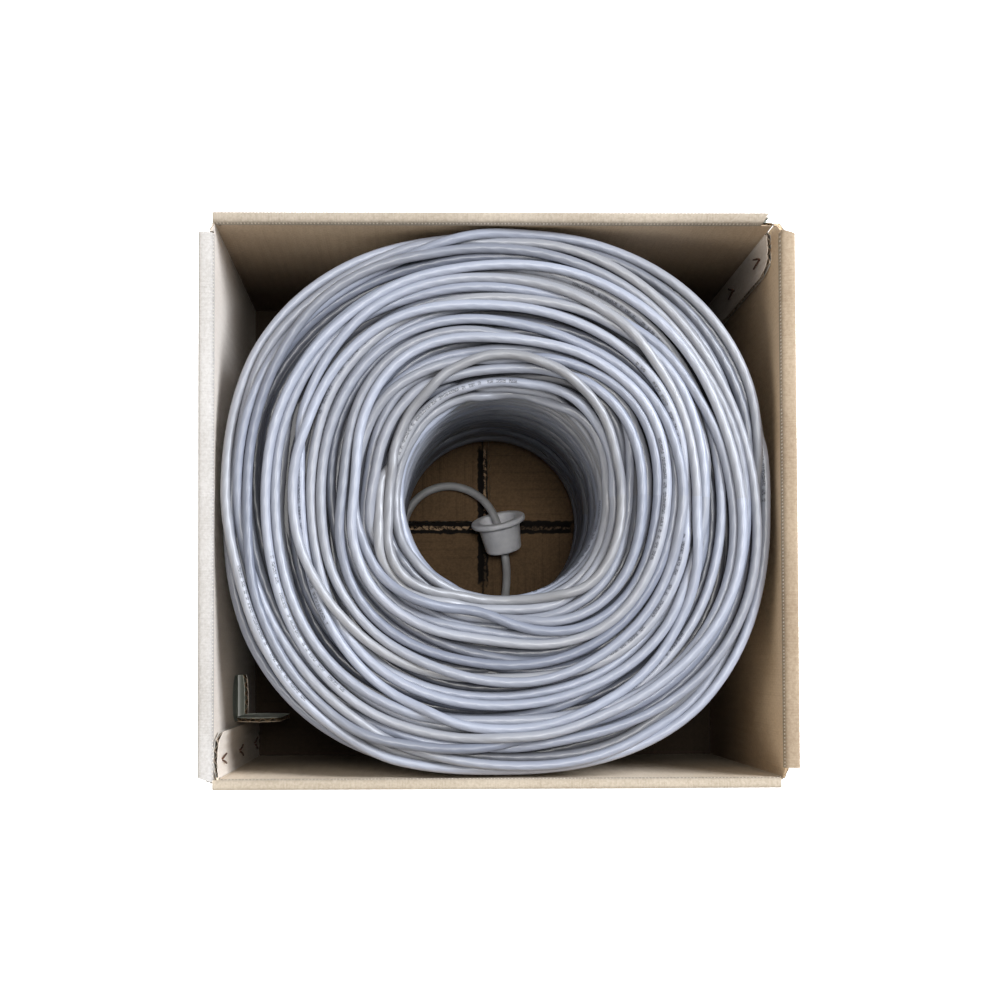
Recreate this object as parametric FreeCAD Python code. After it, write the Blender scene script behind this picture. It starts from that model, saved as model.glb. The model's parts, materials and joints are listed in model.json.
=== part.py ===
"""A corrugated carton that holds a wound coil of data cable.

Millimetres. The origin is the middle of the underside; +X is across the carton, +Y is towards its
back wall and +Z is up. The four top flaps hang folded down against the outside of the walls.
"""

import FreeCAD
import Part
import math
import os

# ---- driving dimensions -------------------------------------------------------------------------
inside_width = 296.0  # between the left and right walls
inside_length = 290.0  # between the front and back walls
inside_depth = 200.0  # from the floor to the front and back rims
board = 2.6  # thickness of the corrugated board
free_gap = 0.3  # between pieces that move past each other
outer_flap_standoff = 2.5  # left and right flaps stand off their walls over the stitches
inner_flap_side_gap = 2.0  # front and back flaps fit between the taller walls, each end
outer_flap_side_gap = 7.7  # left and right flaps are set in from the box's ends, each end
flap_meeting_gap = 0.5  # from a closed flap's free edge to the middle of the top
payout_notch_radius = 14.0
bottom_flap_gap = 3.0  # from a bottom flap's free edge to the middle of the floor

back_tab_width = 20.5
front_tab_width = 24.0
back_tab_drop = 19.0  # its top edge is this far below the back rim
front_tab_drop = 1.5
tab_corner_cut = (4.0, 14.0)  # along Y and Z, on each tab's free top corner
wall_corner_cut = (7.0, 15.0)  # along Y and Z, on the right wall's overlapping top corner

stitch_count = 3
stitch_wire = (0.8, 2.0)  # thickness and width of the flat wire
stitch_crown = 9.0
stitch_clinch = 4.2
stitch_clinch_droop = 28.0  # degrees
stitch_end_margin = 22.0  # from a tab's ends to its first and last stitch
stitch_from_wall = 9.5  # from the front or back wall's inner face

hand_hole_width = 27.0
hand_hole_height = 80.0
hand_hole_tab_gap = 2.0  # from the front tab's free edge to the hole
hand_hole_middle_z = 81.0
hand_flap_gap = 0.5

coil_side_gap = 0.6  # from the winding to the nearer pair of walls
coil_diagonal_bulge = 9.0  # its corners reach this much further than its sides
coil_corner_setback = 38.0  # its corner arcs' radius is this much less than its half width
coil_top_drop = 6.0  # below the front and back rims
coil_outer_round = 9.0
coil_inner_round = 10.0
coil_eye_radius = 55.0
coil_eye_centre = (4.5, 4.0)

cable_diameter = 5.2
lead_route = [
    (-52.1, -13.4, 10.3),
    (-52.6, 1.6, 9.4),
    (-47.7, 16.8, 8.8),
    (-35.8, 27.5, 8.6),
    (-19.1, 30.5, 9.1),
    (-2.9, 23.9, 11.6),
    (8.14, 9.7, 16.2),
    (14.74, -19.5, 16.2),
    (15.2, -34.0, 11.0),
    (13.9, -45.0, 9.0),
]
arc_share = 0.45  # of the shorter run, from each corner to where its arc starts
conductor_diameter = 0.95
pair_length = 4.0
pair_ring_radius = 1.35

bushing_flange_radius = 17.5
bushing_flange_thickness = 1.8
bushing_body_radius = 13.5  # at the flange
bushing_end_radius = 11.35
bushing_length = 21.5
bushing_wall = 1.8
bushing_hole_radius = 4.0
bushing_end_place = (13.2, -12.7)  # X and Y of the middle of its narrow end
bushing_heading = 102.7  # degrees from +X, from the narrow end to the mouth

# ---- sizes that follow --------------------------------------------------------------------------
half_x = inside_width / 2
half_y = inside_length / 2
coil_half_width = min(half_x, half_y) - coil_side_gap
coil_diagonal_radius = coil_half_width + coil_diagonal_bulge
coil_corner_radius = coil_half_width - coil_corner_setback
hand_hole_from_front = front_tab_width + hand_hole_tab_gap + hand_hole_width / 2
hand_hole_middle = (-half_y + hand_hole_from_front, hand_hole_middle_z)
floor_top = 2 * board
inner_rim = floor_top + inside_depth
outer_rim = inner_rim + board
inner_flap_axis_z = inner_rim + free_gap + board / 2
outer_flap_axis_z = inner_flap_axis_z + board + free_gap
inner_flap_axis_y = half_y + board + free_gap + board / 2
outer_flap_axis_x = half_x + board + outer_flap_standoff + board / 2
lying_height = floor_top + free_gap

vector = FreeCAD.Vector
made = []


def box(low, high):
    """A block between two opposite corners."""
    size = [b - a for a, b in zip(low, high)]
    return Part.makeBox(*size, vector(*low))


def prism(points, push):
    """The flat outline through the points, pushed along a vector."""
    corners = [vector(*p) for p in points]
    return Part.Face(Part.makePolygon(corners + corners[:1])).extrude(vector(*push))


def save(name, shape):
    """Writes one node and prints its volume."""
    if not shape.isValid():
        raise ValueError(name + " is not a valid shape")
    shape.exportStep("parts/" + name + ".step")
    made.append(name)
    print(f"{name}: {len(shape.Solids)} solid(s), {shape.Volume:.1f} mm3")


# ---- walls, each pair a folded sheet with one stitched corner -----------------------------------
def stadium(width, height, depth, start):
    """An upright slot-shaped block: width along Y, height along Z, depth along X from start."""
    x, y, z = start
    radius = width / 2
    rise = height / 2 - radius
    slab = box((x, y - radius, z - rise), (x + depth, y + radius, z + rise))
    for end in (z - rise, z + rise):
        slab = slab.fuse(Part.makeCylinder(radius, depth, vector(x, y, end), vector(1, 0, 0)))
    return slab.removeSplitter()


def make_walls():
    """The back wall covers the left wall's end, and the front wall covers the right wall's."""
    back = box((-half_x - board, half_y, 0), (half_x, half_y + board, inner_rim))
    front = box((-half_x, -half_y - board, 0), (half_x + board, -half_y, inner_rim))
    left = box((-half_x - board, -half_y - board, 0), (-half_x, half_y, outer_rim))
    right = box((half_x, -half_y, 0), (half_x + board, half_y + board, outer_rim))
    hole_y, hole_z = hand_hole_middle
    hole = stadium(hand_hole_width, hand_hole_height, board, (-half_x - board, hole_y, hole_z))
    cut_y, cut_z = wall_corner_cut
    end = half_y + board
    slant = prism(
        [
            (half_x, end, outer_rim),
            (half_x, end - cut_y, outer_rim),
            (half_x, end, outer_rim - cut_z),
        ],
        (board, 0, 0),
    )
    save("back_wall", back)
    save("front_wall", front)
    save("left_wall", left.cut(hole))
    save("right_wall", right.cut(slant))


def stitch(middle_z, outwards):
    """One wire stitch through two boards, as on the right wall, with its legs clinched inside."""
    thick, wide = stitch_wire
    outside = half_x + board
    inside = half_x - board
    crown_half = stitch_crown / 2
    low_z = middle_z - wide / 2
    wire = box(
        (outside, -crown_half, low_z),
        (outside + thick, crown_half, low_z + wide),
    )
    for side in (-1, 1):
        leg_y = side * (crown_half - thick / 2)
        leg = box(
            (inside - thick, leg_y - thick / 2, low_z),
            (outside, leg_y + thick / 2, low_z + wide),
        )
        clinch = box(
            (inside - thick, leg_y - thick / 2, low_z),
            (inside, leg_y - thick / 2 + stitch_clinch, low_z + wide),
        )
        if side > 0:
            clinch = clinch.mirror(vector(0, leg_y, 0), vector(0, 1, 0))
        turn = side * stitch_clinch_droop
        clinch.rotate(vector(inside, leg_y, middle_z), vector(1, 0, 0), turn)
        wire = wire.fuse(leg).fuse(clinch)
    wire = wire.removeSplitter()
    wire.translate(vector(0, half_y - stitch_from_wall, 0))
    if outwards < 0:
        wire.rotate(vector(0, 0, 0), vector(0, 0, 1), 180)
    return wire


def make_tab(width, drop):
    """An upright tab inside the right wall, with its free top corner cut off."""
    free_y = half_y - width
    top = inner_rim - drop
    cut_y, cut_z = tab_corner_cut
    outline = [
        (half_x, half_y, floor_top),
        (half_x, half_y, top),
        (half_x, free_y + cut_y, top),
        (half_x, free_y, top - cut_z),
        (half_x, free_y, floor_top),
    ]
    return prism(outline, (-board, 0, 0))


def make_tabs():
    """The stitched corners: a tab folded inside the wall that it is wired to."""
    front = make_tab(front_tab_width, front_tab_drop)
    front.rotate(vector(0, 0, 0), vector(0, 0, 1), 180)
    save("back_stitch_tab", make_tab(back_tab_width, back_tab_drop))
    save("front_stitch_tab", front)
    for name, drop, outwards in (("back", back_tab_drop, 1), ("front", front_tab_drop, -1)):
        low = floor_top + stitch_end_margin
        high = inner_rim - drop - stitch_end_margin
        step = (high - low) / (stitch_count - 1)
        row = [stitch(low + i * step, outwards) for i in range(stitch_count)]
        save(name + "_tab_stitches", Part.makeCompound(row))


# ---- top flaps, hanging folded down outside ------------------------------------------------------
def make_top_flap(name, half_width, axis_reach, axis_z, across):
    """A hanging slab from its fold axis down, with the half-round payout notch in its free edge.

    across is the outward direction: a unit X or Y vector.
    """
    length = axis_reach - flap_meeting_gap
    slab = box((axis_reach - board / 2, -half_width, axis_z - length),
               (axis_reach + board / 2, half_width, axis_z))
    notch = Part.makeCylinder(
        payout_notch_radius,
        board,
        vector(axis_reach - board / 2, 0, axis_z - axis_reach),
        vector(1, 0, 0),
    )
    flap = slab.cut(notch)
    flap.rotate(vector(0, 0, 0), vector(0, 0, 1), across)
    save(name, flap)


def make_top_flaps():
    """Inner flaps close first between the taller walls; outer flaps close over them."""
    inner_half = half_x - inner_flap_side_gap
    outer_half = half_y + board - outer_flap_side_gap
    make_top_flap("top_flap_back", inner_half, inner_flap_axis_y, inner_flap_axis_z, 90)
    make_top_flap("top_flap_front", inner_half, inner_flap_axis_y, inner_flap_axis_z, -90)
    make_top_flap("top_flap_right", outer_half, outer_flap_axis_x, outer_flap_axis_z, 0)
    make_top_flap("top_flap_left", outer_half, outer_flap_axis_x, outer_flap_axis_z, 180)


# ---- bottom flaps, interlocked like a pinwheel ---------------------------------------------------
def make_bottom_flap(name, half_side, reach, turn):
    """A flap that lies on its neighbour for half its width and under the next one for the rest.

    Built as the back flap, then turned: its upper half is on -X and its lower half on +X.
    """
    gap = bottom_flap_gap
    outline = [
        (-half_side, gap, board),
        (-gap, gap, board),
        (gap, gap, 0),
        (half_side, gap, 0),
        (half_side, gap, board),
        (gap, gap, board),
        (-gap, gap, 2 * board),
        (-half_side, gap, 2 * board),
    ]
    flap = prism(outline, (0, reach - gap, 0))
    flap.rotate(vector(0, 0, 0), vector(0, 0, 1), turn)
    save(name, flap)


def make_bottom_flaps():
    """Back over left, left over front, front over right and right over back."""
    make_bottom_flap("bottom_flap_back", half_x, half_y, 0)
    make_bottom_flap("bottom_flap_left", half_y, half_x, 90)
    make_bottom_flap("bottom_flap_front", half_x, half_y, 180)
    make_bottom_flap("bottom_flap_right", half_y, half_x, 270)


# ---- hand hole's pushed-in flap ------------------------------------------------------------------
def make_hand_flap():
    """Folded a quarter turn inwards about its front edge, just inside the left wall."""
    middle_y, middle_z = hand_hole_middle
    width = hand_hole_width - 2 * hand_flap_gap
    height = hand_hole_height - 2 * hand_flap_gap
    axis_x = -half_x + free_gap
    axis_y = middle_y - hand_hole_width / 2 + hand_flap_gap / 2
    flap = stadium(width, height, board, (axis_x - board, axis_y + width / 2, middle_z))
    flap.rotate(vector(axis_x, axis_y, 0), vector(0, 0, 1), -90)
    save("hand_hole_flap", flap)


# ---- wound coil ----------------------------------------------------------------------------------
def coil_outline():
    """A bulging rounded square: four flat arcs on the sides and four tighter ones on the corners."""
    corner_centre = (coil_diagonal_radius - coil_corner_radius) / math.sqrt(2)
    reach = coil_half_width - coil_corner_radius
    setback = (2 * corner_centre**2 - reach**2) / (2 * (reach - corner_centre))
    side_radius = coil_half_width + setback
    join = math.atan2(corner_centre, corner_centre + setback)
    edges = []
    for quarter in range(4):
        base = quarter * math.pi / 2
        heading = vector(math.cos(base), math.sin(base), 0)
        centre = heading * -setback
        points = [
            centre + vector(math.cos(base + a), math.sin(base + a), 0) * side_radius
            for a in (-join, 0, join)
        ]
        edges.append(Part.Arc(*points).toShape())
        diagonal = base + math.pi / 4
        bulge = vector(math.cos(diagonal), math.sin(diagonal), 0) * coil_diagonal_radius
        turned = base + math.pi / 2
        after = vector(math.cos(turned), math.sin(turned), 0) * -setback
        landing = vector(math.cos(turned - join), math.sin(turned - join), 0) * side_radius
        edges.append(Part.Arc(points[2], bulge, after + landing).toShape())
    return Part.Face(Part.Wire(edges))


def make_coil():
    """One closed solid of the winding's outer shape, with its open eye."""
    low = lying_height
    height = inner_rim - coil_top_drop - low
    block = coil_outline().extrude(vector(0, 0, height))
    block.translate(vector(0, 0, low))
    ends = [e for e in block.Edges if abs(e.BoundBox.ZMin - e.BoundBox.ZMax) < 1e-6]
    block = block.makeFillet(coil_outer_round, ends)
    eye_x, eye_y = coil_eye_centre
    eye = Part.makeCylinder(coil_eye_radius, height, vector(eye_x, eye_y, low))
    ring = block.cut(eye)
    rims = []
    for edge in ring.Edges:
        flat = abs(edge.BoundBox.ZMin - edge.BoundBox.ZMax) < 1e-6
        if flat and abs(edge.Length - 2 * math.pi * coil_eye_radius) < 0.1:
            rims.append(edge)
    save("cable_coil", ring.makeFillet(coil_inner_round, rims))


# ---- cable's inner end ---------------------------------------------------------------------------
def tube_path(route):
    """Straight runs joined by tangent arcs as large as their two runs allow."""
    points = [vector(*p) for p in route]
    edges = []
    here = points[0]
    for before, corner, after in zip(points, points[1:], points[2:]):
        come = (corner - before).normalize()
        leave = (after - corner).normalize()
        turn = come.getAngle(leave)
        setback = arc_share * min((corner - before).Length, (after - corner).Length)
        radius = setback / math.tan(turn / 2)
        start = corner - come * setback
        end = corner + leave * setback
        inwards = (leave - come).normalize()
        middle = corner + inwards * (radius / math.cos(turn / 2) - radius)
        edges.append(Part.LineSegment(here, start).toShape())
        edges.append(Part.Arc(start, middle, end).toShape())
        print(f"  lead turns {math.degrees(turn):.0f} degrees, radius {radius:.1f} mm")
        here = end
    edges.append(Part.LineSegment(here, points[-1]).toShape())
    return Part.Wire(edges)


def disc(centre, normal, radius):
    """A flat round wire."""
    return Part.Wire(Part.makeCircle(radius, centre, normal))


def make_lead():
    """The inner end of the cable, from inside the winding to its cut end, and its four pairs."""
    path = tube_path(lead_route)
    first, second = vector(*lead_route[0]), vector(*lead_route[1])
    ring = disc(first, second - first, cable_diameter / 2)
    lead = path.makePipeShell([ring], True, False)
    section = math.pi * cable_diameter**2 / 4
    print(f"  lead length {path.Length:.1f} mm, section times length {section * path.Length:.1f}")
    save("cable_lead", lead)
    end = vector(*lead_route[-1])
    heading = (end - vector(*lead_route[-2])).normalize()
    side = heading.cross(vector(0, 0, 1)).normalize()
    up = side.cross(heading)
    for number, name in enumerate(("blue", "orange", "green", "brown")):
        angle = math.pi / 4 + number * math.pi / 2
        out = side * math.cos(angle) + up * math.sin(angle)
        along = side * -math.sin(angle) + up * math.cos(angle)
        cores = []
        for step in (-0.5, 0.5):
            foot = end + out * pair_ring_radius + along * (step * conductor_diameter)
            cores.append(Part.makeCylinder(conductor_diameter / 2, pair_length, foot, heading))
        save(name + "_pair", Part.makeCompound(cores))


# ---- payout bushing ------------------------------------------------------------------------------
def make_bushing():
    """A flanged hollow cup with a round hole in its narrow end, lying on its rim."""
    wall = bushing_wall
    shoulder = bushing_length - bushing_flange_thickness
    outline = [
        (bushing_hole_radius, 0),
        (bushing_end_radius, 0),
        (bushing_body_radius, shoulder),
        (bushing_flange_radius, shoulder),
        (bushing_flange_radius, bushing_length),
        (bushing_body_radius - wall, bushing_length),
        (bushing_end_radius - wall, wall),
        (bushing_hole_radius, wall),
    ]
    corners = [vector(r, 0, z) for r, z in outline]
    face = Part.Face(Part.makePolygon(corners + corners[:1]))
    cup = face.revolve(vector(0, 0, 0), vector(0, 0, 1), 360)
    if cup.Volume < 0:
        cup.reverse()
    tilt = math.atan2(bushing_flange_radius - bushing_end_radius, shoulder)
    cup.rotate(vector(0, 0, 0), vector(0, 1, 0), 90 - math.degrees(tilt))
    cup.rotate(vector(0, 0, 0), vector(0, 0, 1), bushing_heading)
    rest_z = lying_height + bushing_end_radius * math.cos(tilt)
    cup.translate(vector(*bushing_end_place, rest_z))
    save("payout_bushing", cup)


os.makedirs("parts", exist_ok=True)
make_walls()
make_tabs()
make_top_flaps()
make_bottom_flaps()
make_hand_flap()
make_coil()
make_lead()
make_bushing()
print(len(made), "nodes")
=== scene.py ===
"""The looks of a cable box: its corrugated carton, the wound data cable, the loose payout bushing
and the cable's inner end. Places come from the fixed frame; sizes here are in metres."""

import json
import logging
import math
from collections.abc import Callable
from dataclasses import dataclass, field
from enum import Enum
from typing import ClassVar

import bpy
import numpy as np
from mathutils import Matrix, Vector


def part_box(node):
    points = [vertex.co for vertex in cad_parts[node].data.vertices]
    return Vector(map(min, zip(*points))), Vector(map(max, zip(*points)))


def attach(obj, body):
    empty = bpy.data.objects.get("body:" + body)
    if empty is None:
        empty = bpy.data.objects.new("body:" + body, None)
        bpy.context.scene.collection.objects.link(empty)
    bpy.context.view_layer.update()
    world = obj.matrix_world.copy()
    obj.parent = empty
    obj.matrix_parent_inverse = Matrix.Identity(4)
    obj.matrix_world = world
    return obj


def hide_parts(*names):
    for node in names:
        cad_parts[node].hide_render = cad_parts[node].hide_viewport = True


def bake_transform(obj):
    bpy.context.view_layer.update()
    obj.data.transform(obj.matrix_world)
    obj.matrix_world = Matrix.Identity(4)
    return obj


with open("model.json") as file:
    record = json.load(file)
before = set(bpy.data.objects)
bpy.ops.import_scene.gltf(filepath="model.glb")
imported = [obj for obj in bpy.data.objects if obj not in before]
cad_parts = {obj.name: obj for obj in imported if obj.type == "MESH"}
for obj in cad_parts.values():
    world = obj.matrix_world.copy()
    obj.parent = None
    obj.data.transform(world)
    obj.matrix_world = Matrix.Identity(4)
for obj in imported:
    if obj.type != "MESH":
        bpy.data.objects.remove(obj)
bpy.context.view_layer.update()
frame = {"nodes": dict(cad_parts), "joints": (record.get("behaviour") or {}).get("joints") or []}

MM = 0.001
log = logging.getLogger("cable_box")
Place = Callable[[np.ndarray, np.ndarray, np.ndarray], np.ndarray]
Colour = tuple[float, float, float, float]
Point = tuple[float, float, float]


# ---- shader expressions --------------------------------------------------------------------------
@dataclass(frozen=True)
class Socket:
    """A shader output that can be used in Python expressions."""

    graph: "Graph"
    source: bpy.types.NodeSocket

    def _join(self, operation: str, first: object, second: object) -> "Socket":
        """Adds the Math or Vector Math node for one operation."""
        is_vector = any(
            isinstance(x, Socket) and x.source.type in ("VECTOR", "RGBA") for x in (first, second)
        )
        kind = "ShaderNodeVectorMath" if is_vector else "ShaderNodeMath"
        if is_vector and operation == "MULTIPLY":
            numbers = [x for x in (first, second) if isinstance(x, (int, float))]
            if numbers:
                vector = second if first is numbers[0] else first
                scaling = {0: vector, "Scale": numbers[0]}
                return self.graph.node(kind, {"operation": "SCALE"}, scaling)
        return self.graph.node(kind, {"operation": operation}, {0: first, 1: second})

    def __add__(self, other: object) -> "Socket":
        """This plus other."""
        return self._join("ADD", self, other)

    __radd__ = __add__

    def __sub__(self, other: object) -> "Socket":
        """This minus other."""
        return self._join("SUBTRACT", self, other)

    def __rsub__(self, other: object) -> "Socket":
        """Other minus this."""
        return self._join("SUBTRACT", other, self)

    def __mul__(self, other: object) -> "Socket":
        """This times other."""
        return self._join("MULTIPLY", self, other)

    __rmul__ = __mul__

    def __truediv__(self, other: object) -> "Socket":
        """This over other."""
        return self._join("DIVIDE", self, other)

    def __gt__(self, other: object) -> "Socket":
        """1 where this is greater than other, else 0."""
        return self._join("GREATER_THAN", self, other)

    def __lt__(self, other: object) -> "Socket":
        """1 where this is less than other, else 0."""
        return self._join("LESS_THAN", self, other)

    def __or__(self, other: object) -> "Socket":
        """The larger of this and other."""
        return self._join("MAXIMUM", self, other)

    def __abs__(self) -> "Socket":
        """This without its sign."""
        return self._join("ABSOLUTE", self, 0.0)

    def call(self, operation: str, other: object = 0.0) -> "Socket":
        """Any other Math operation on this, with an optional second value."""
        return self._join(operation, self, other)

    def ramp(self, low: float, high: float, start: float = 0.0, end: float = 1.0) -> "Socket":
        """A smooth change from start to end as this goes from low to high."""
        return self.graph.node(
            "ShaderNodeMapRange",
            {"interpolation_type": "SMOOTHSTEP"},
            {"Value": self, 1: low, 2: high, 3: start, 4: end},
        )


class Graph:
    """A material's node tree, written as expressions."""

    def __init__(self, name: str) -> None:
        """Starts an empty material."""
        self.material = bpy.data.materials.new(name)
        self.material.use_nodes = True
        self.tree = self.material.node_tree
        self.tree.nodes.clear()

    def node(self, kind: str, settings: dict | None = None, inputs: dict | None = None,
             output: int | str = 0) -> Socket:
        """Adds one node.

        Args:
            kind: the node's type name.
            settings: its own options, set first.
            inputs: socket name or number to a value or a Socket.
            output: the output wanted.
        Returns:
            The output as a Socket.
        """
        made = self.tree.nodes.new(kind)
        for key, value in (settings or {}).items():
            setattr(made, key, value)
        for key, value in (inputs or {}).items():
            if isinstance(value, Socket):
                self.tree.links.new(value.source, made.inputs[key])
            else:
                made.inputs[key].default_value = value
        return Socket(self, made.outputs[output])

    def mix(self, share: object, first: object, second: object) -> Socket:
        """A colour between first and second."""
        return self.node(
            "ShaderNodeMix", {"data_type": "RGBA"}, {0: share, 6: first, 7: second}, 2
        )

    def axes(self, vector: Socket) -> tuple[Socket, Socket, Socket]:
        """The three numbers of a vector."""
        split = self.node("ShaderNodeSeparateXYZ", {}, {0: vector}).source.node
        return tuple(Socket(self, split.outputs[i]) for i in range(3))

    def vector(self, x: object, y: object, z: object) -> Socket:
        """A vector made of three numbers."""
        return self.node("ShaderNodeCombineXYZ", {}, {0: x, 1: y, 2: z})

    def noise(self, where: Socket, scale: float, detail: float = 3.0,
              rough: float = 0.55) -> Socket:
        """Soft noise from 0 to 1."""
        return self.node(
            "ShaderNodeTexNoise", {},
            {"Vector": where, "Scale": scale, "Detail": detail, "Roughness": rough},
        )

    def bump(self, height: Socket, depth: float, strength: float = 1.0,
             under: Socket | None = None) -> Socket:
        """A normal bent by a height, in metres at height 1."""
        inputs = {"Height": height, "Distance": depth, "Strength": strength}
        if under is not None:
            inputs["Normal"] = under
        return self.node("ShaderNodeBump", {}, inputs)

    def finish(self, **values: object) -> bpy.types.Material:
        """Ends the material in one Principled shader.

        Args:
            values: the shader's sockets, with underscores for spaces.
        Returns:
            The material.
        """
        inputs = {key.replace("_", " "): value for key, value in values.items()}
        shader = self.node("ShaderNodeBsdfPrincipled", {}, inputs)
        self.node_output(shader)
        return self.material

    def node_output(self, shader: Socket) -> None:
        """Links a shader to the material's output."""
        end = self.tree.nodes.new("ShaderNodeOutputMaterial")
        self.tree.links.new(shader.source, end.inputs["Surface"])


def colour(red: float, green: float, blue: float) -> Colour:
    """A linear colour from display values of 0 to 255."""
    def linear(value: float) -> float:
        share = value / 255
        return share / 12.92 if share <= 0.04045 else ((share + 0.055) / 1.055) ** 2.4
    return (linear(red), linear(green), linear(blue), 1.0)


# ---- finishes ------------------------------------------------------------------------------------
@dataclass(frozen=True)
class Seam:
    """Painted shade in the gaps between the floor's flaps, a dark cross with torn paper in it.
    Sizes are in metres.
    """

    half: float = 4.6 * MM
    arm: float = 62 * MM
    front_arm: float = 37 * MM
    back_arm: float = 57 * MM
    shift: float = 3.1 * MM
    # The colour of the painted shade.
    painted_shade: Colour = colour(17, 13, 10)
    torn: Colour = colour(176, 148, 118)

    def tint(self, g: Graph, place: Socket, base: Socket) -> Socket:
        """The base colour with painted shade in the cross, in a thin slit beyond its arms and in
        the far corners.
        """
        x, y, _ = g.axes(place)
        ragged = (g.noise(place, 260.0, 3.0) - 0.5) * 0.003
        rough_end = ragged * 4.0
        off, aside = y + ragged - self.shift, x + ragged
        # Painted shade: the cross and the slit stand in for the shade in the gaps between the
        # flaps.
        across = abs(off).ramp(self.half, self.half * 0.8) * (
            abs(x + rough_end).ramp(self.arm, self.arm - 6 * MM))
        upright = abs(aside).ramp(self.half * 0.8, self.half * 0.6) * (
            (y + rough_end).ramp(self.back_arm, self.back_arm - 5 * MM)) * (
            (y + rough_end).ramp(-self.front_arm, 5 * MM - self.front_arm))
        slit = abs(aside * 0.5 + x * 0.5).ramp(0.7 * MM, 0.3 * MM) * 0.8
        # Painted shade: the floor darkens from 75 to 115 mm out, towards the box's corners.
        far = (x * x + y * y).call("SQRT").ramp(75 * MM, 115 * MM, 0.0, 0.86)
        base = g.mix(across | upright | slit | far, base, self.painted_shade)
        scraps = g.noise(g.vector(x * 420.0, y * 420.0, 4.0), 1.0, 4.0, 0.75).ramp(0.42, 0.58)
        thread = abs(off + 0.4 * MM).ramp(1.6 * MM, 0.6 * MM) * (
            across * x.ramp(6 * MM, -12 * MM, 0.3, 1.0))
        strand = abs(aside - 1.4 * MM).ramp(1.1 * MM, 0.4 * MM) * (
            upright * y.ramp(-10 * MM, 12 * MM, 0.15, 1.0))
        return g.mix((thread | strand) * scraps, base, self.torn)


@dataclass(frozen=True)
class Crest:
    """Pale dashes along a fold's top, where its map's second number is near the centre: partly
    worn, cracked paper and partly a painted highlight where crushed flutes catch the light.
    """

    centre: float = 0.175
    reach: float = 0.075
    # Colour of the dashes: worn paper and painted highlight.
    worn: Colour = colour(252, 243, 226)

    def tint(self, g: Graph, flute: Socket, along: Socket, wobble: Socket, base: Socket) -> Socket:
        """The base colour with three dashes to a flute, fainter in places."""
        dash = (flute * (6 * math.pi) + wobble * 5.0).call("COSINE").ramp(-0.1, 0.8)
        patchy = g.noise(g.vector(flute * 0.7, 0.0, 2.0), 1.0, 4.0).ramp(0.32, 0.56, 0.3, 1.0)
        band = abs(along - self.centre).ramp(self.reach, 0.0)
        return g.mix(dash * band * patchy, base, self.worn)


@dataclass(frozen=True)
class LinerFinish:
    """Paper liner of corrugated board. Its map runs one unit a flute and one unit a centimetre."""

    name: str
    light: Colour
    dark: Colour
    line_share: float = 0.05
    crest: Crest | None = None
    seam: Seam | None = None
    # How strongly a wall is painted darker towards the floor as shade.
    low_shade_share: float = 0.0
    painted_low_shade: Colour = colour(58, 40, 26)
    crinkle_share: float = 0.06
    roughness: float = 0.85
    relief: float = 0.22 * MM

    def build(self) -> bpy.types.Material:
        """Kraft mottling, fibre specks, glue lines at each flute and cross crinkles. Crest dashes,
        the floor seam's painted shade, or painted shade that deepens towards the floor are laid
        over them where they are asked for."""
        g = Graph(self.name)
        chart = g.node("ShaderNodeUVMap", {"uv_map": "Map"})
        flute, along, _ = g.axes(chart)
        place = g.node("ShaderNodeTexCoord", {}, {}, "Object")
        cloudy = g.noise(place, 24.0, 4.0)
        blotch = g.noise(place, 6.0, 2.0)
        grain = g.noise(place, 640.0, 3.0, 0.7)
        fibre = g.noise(g.vector(flute * 3.1, along * 12.0, 0.0), 3.2, 5.0, 0.75)
        wobble = g.noise(g.vector(flute * 0.6, along * 0.5, 3.0), 1.0, 2.0)
        uneven = g.noise(g.vector(flute * 0.31, along * 0.12, 7.0), 2.0, 3.0).ramp(0.35, 0.7)
        wave = ((flute + wobble * 0.22) * (2 * math.pi)).call("COSINE")
        hatch = ((flute + wobble * 0.3) * (8 * math.pi)).call("COSINE") * uneven
        line = wave.ramp(0.3, 1.0) * uneven
        crinkle = g.noise(g.vector(flute * 0.45, along * 6.0, 1.0), 1.7, 5.0, 0.7).ramp(0.55, 0.75)
        tone = cloudy * 0.5 + blotch * 0.35 + fibre * 0.22 + grain * 0.75 - 0.42
        tone = tone + line * self.line_share + crinkle * self.crinkle_share + hatch * 0.05
        base = g.mix(tone.ramp(0.12, 0.92), self.light, self.dark)
        if self.crest:
            base = self.crest.tint(g, flute, along, wobble, base)
        if self.seam:
            base = self.seam.tint(g, place, base)
        # Painted shade: the wall darkens from 165 mm down to 30 mm, standing in for the shade deep
        # in the box.
        if self.low_shade_share:
            _, _, rise = g.axes(place)
            base = g.mix(rise.ramp(165 * MM, 30 * MM, 0.0, self.low_shade_share), base, self.painted_low_shade)
        height = wave * 0.28 + crinkle * -0.35 + fibre * 0.4 + cloudy * 0.5 + grain * 0.35
        return g.finish(
            Base_Color=base, Roughness=self.roughness + (fibre - 0.5) * 0.12,
            Normal=g.bump(height, self.relief, 0.75), Specular_IOR_Level=0.22,
        )


@dataclass(frozen=True)
class FluteFinish:
    """The wavy inner paper of corrugated board, seen at its cut edges."""

    name: str = "fluting_paper"
    light: Colour = colour(176, 152, 122)
    dark: Colour = colour(128, 104, 78)
    relief: float = 0.2 * MM

    def build(self) -> bpy.types.Material:
        """Darker recycled paper with coarse fibres."""
        g = Graph(self.name)
        place = g.node("ShaderNodeTexCoord", {}, {}, "Object")
        fibre = g.noise(place, 700.0, 4.0, 0.65)
        base = g.mix(fibre.ramp(0.3, 0.7), self.light, self.dark)
        return g.finish(Base_Color=base, Roughness=0.9, Specular_IOR_Level=0.15,
                        Normal=g.bump(fibre, self.relief, 0.6))


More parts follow.
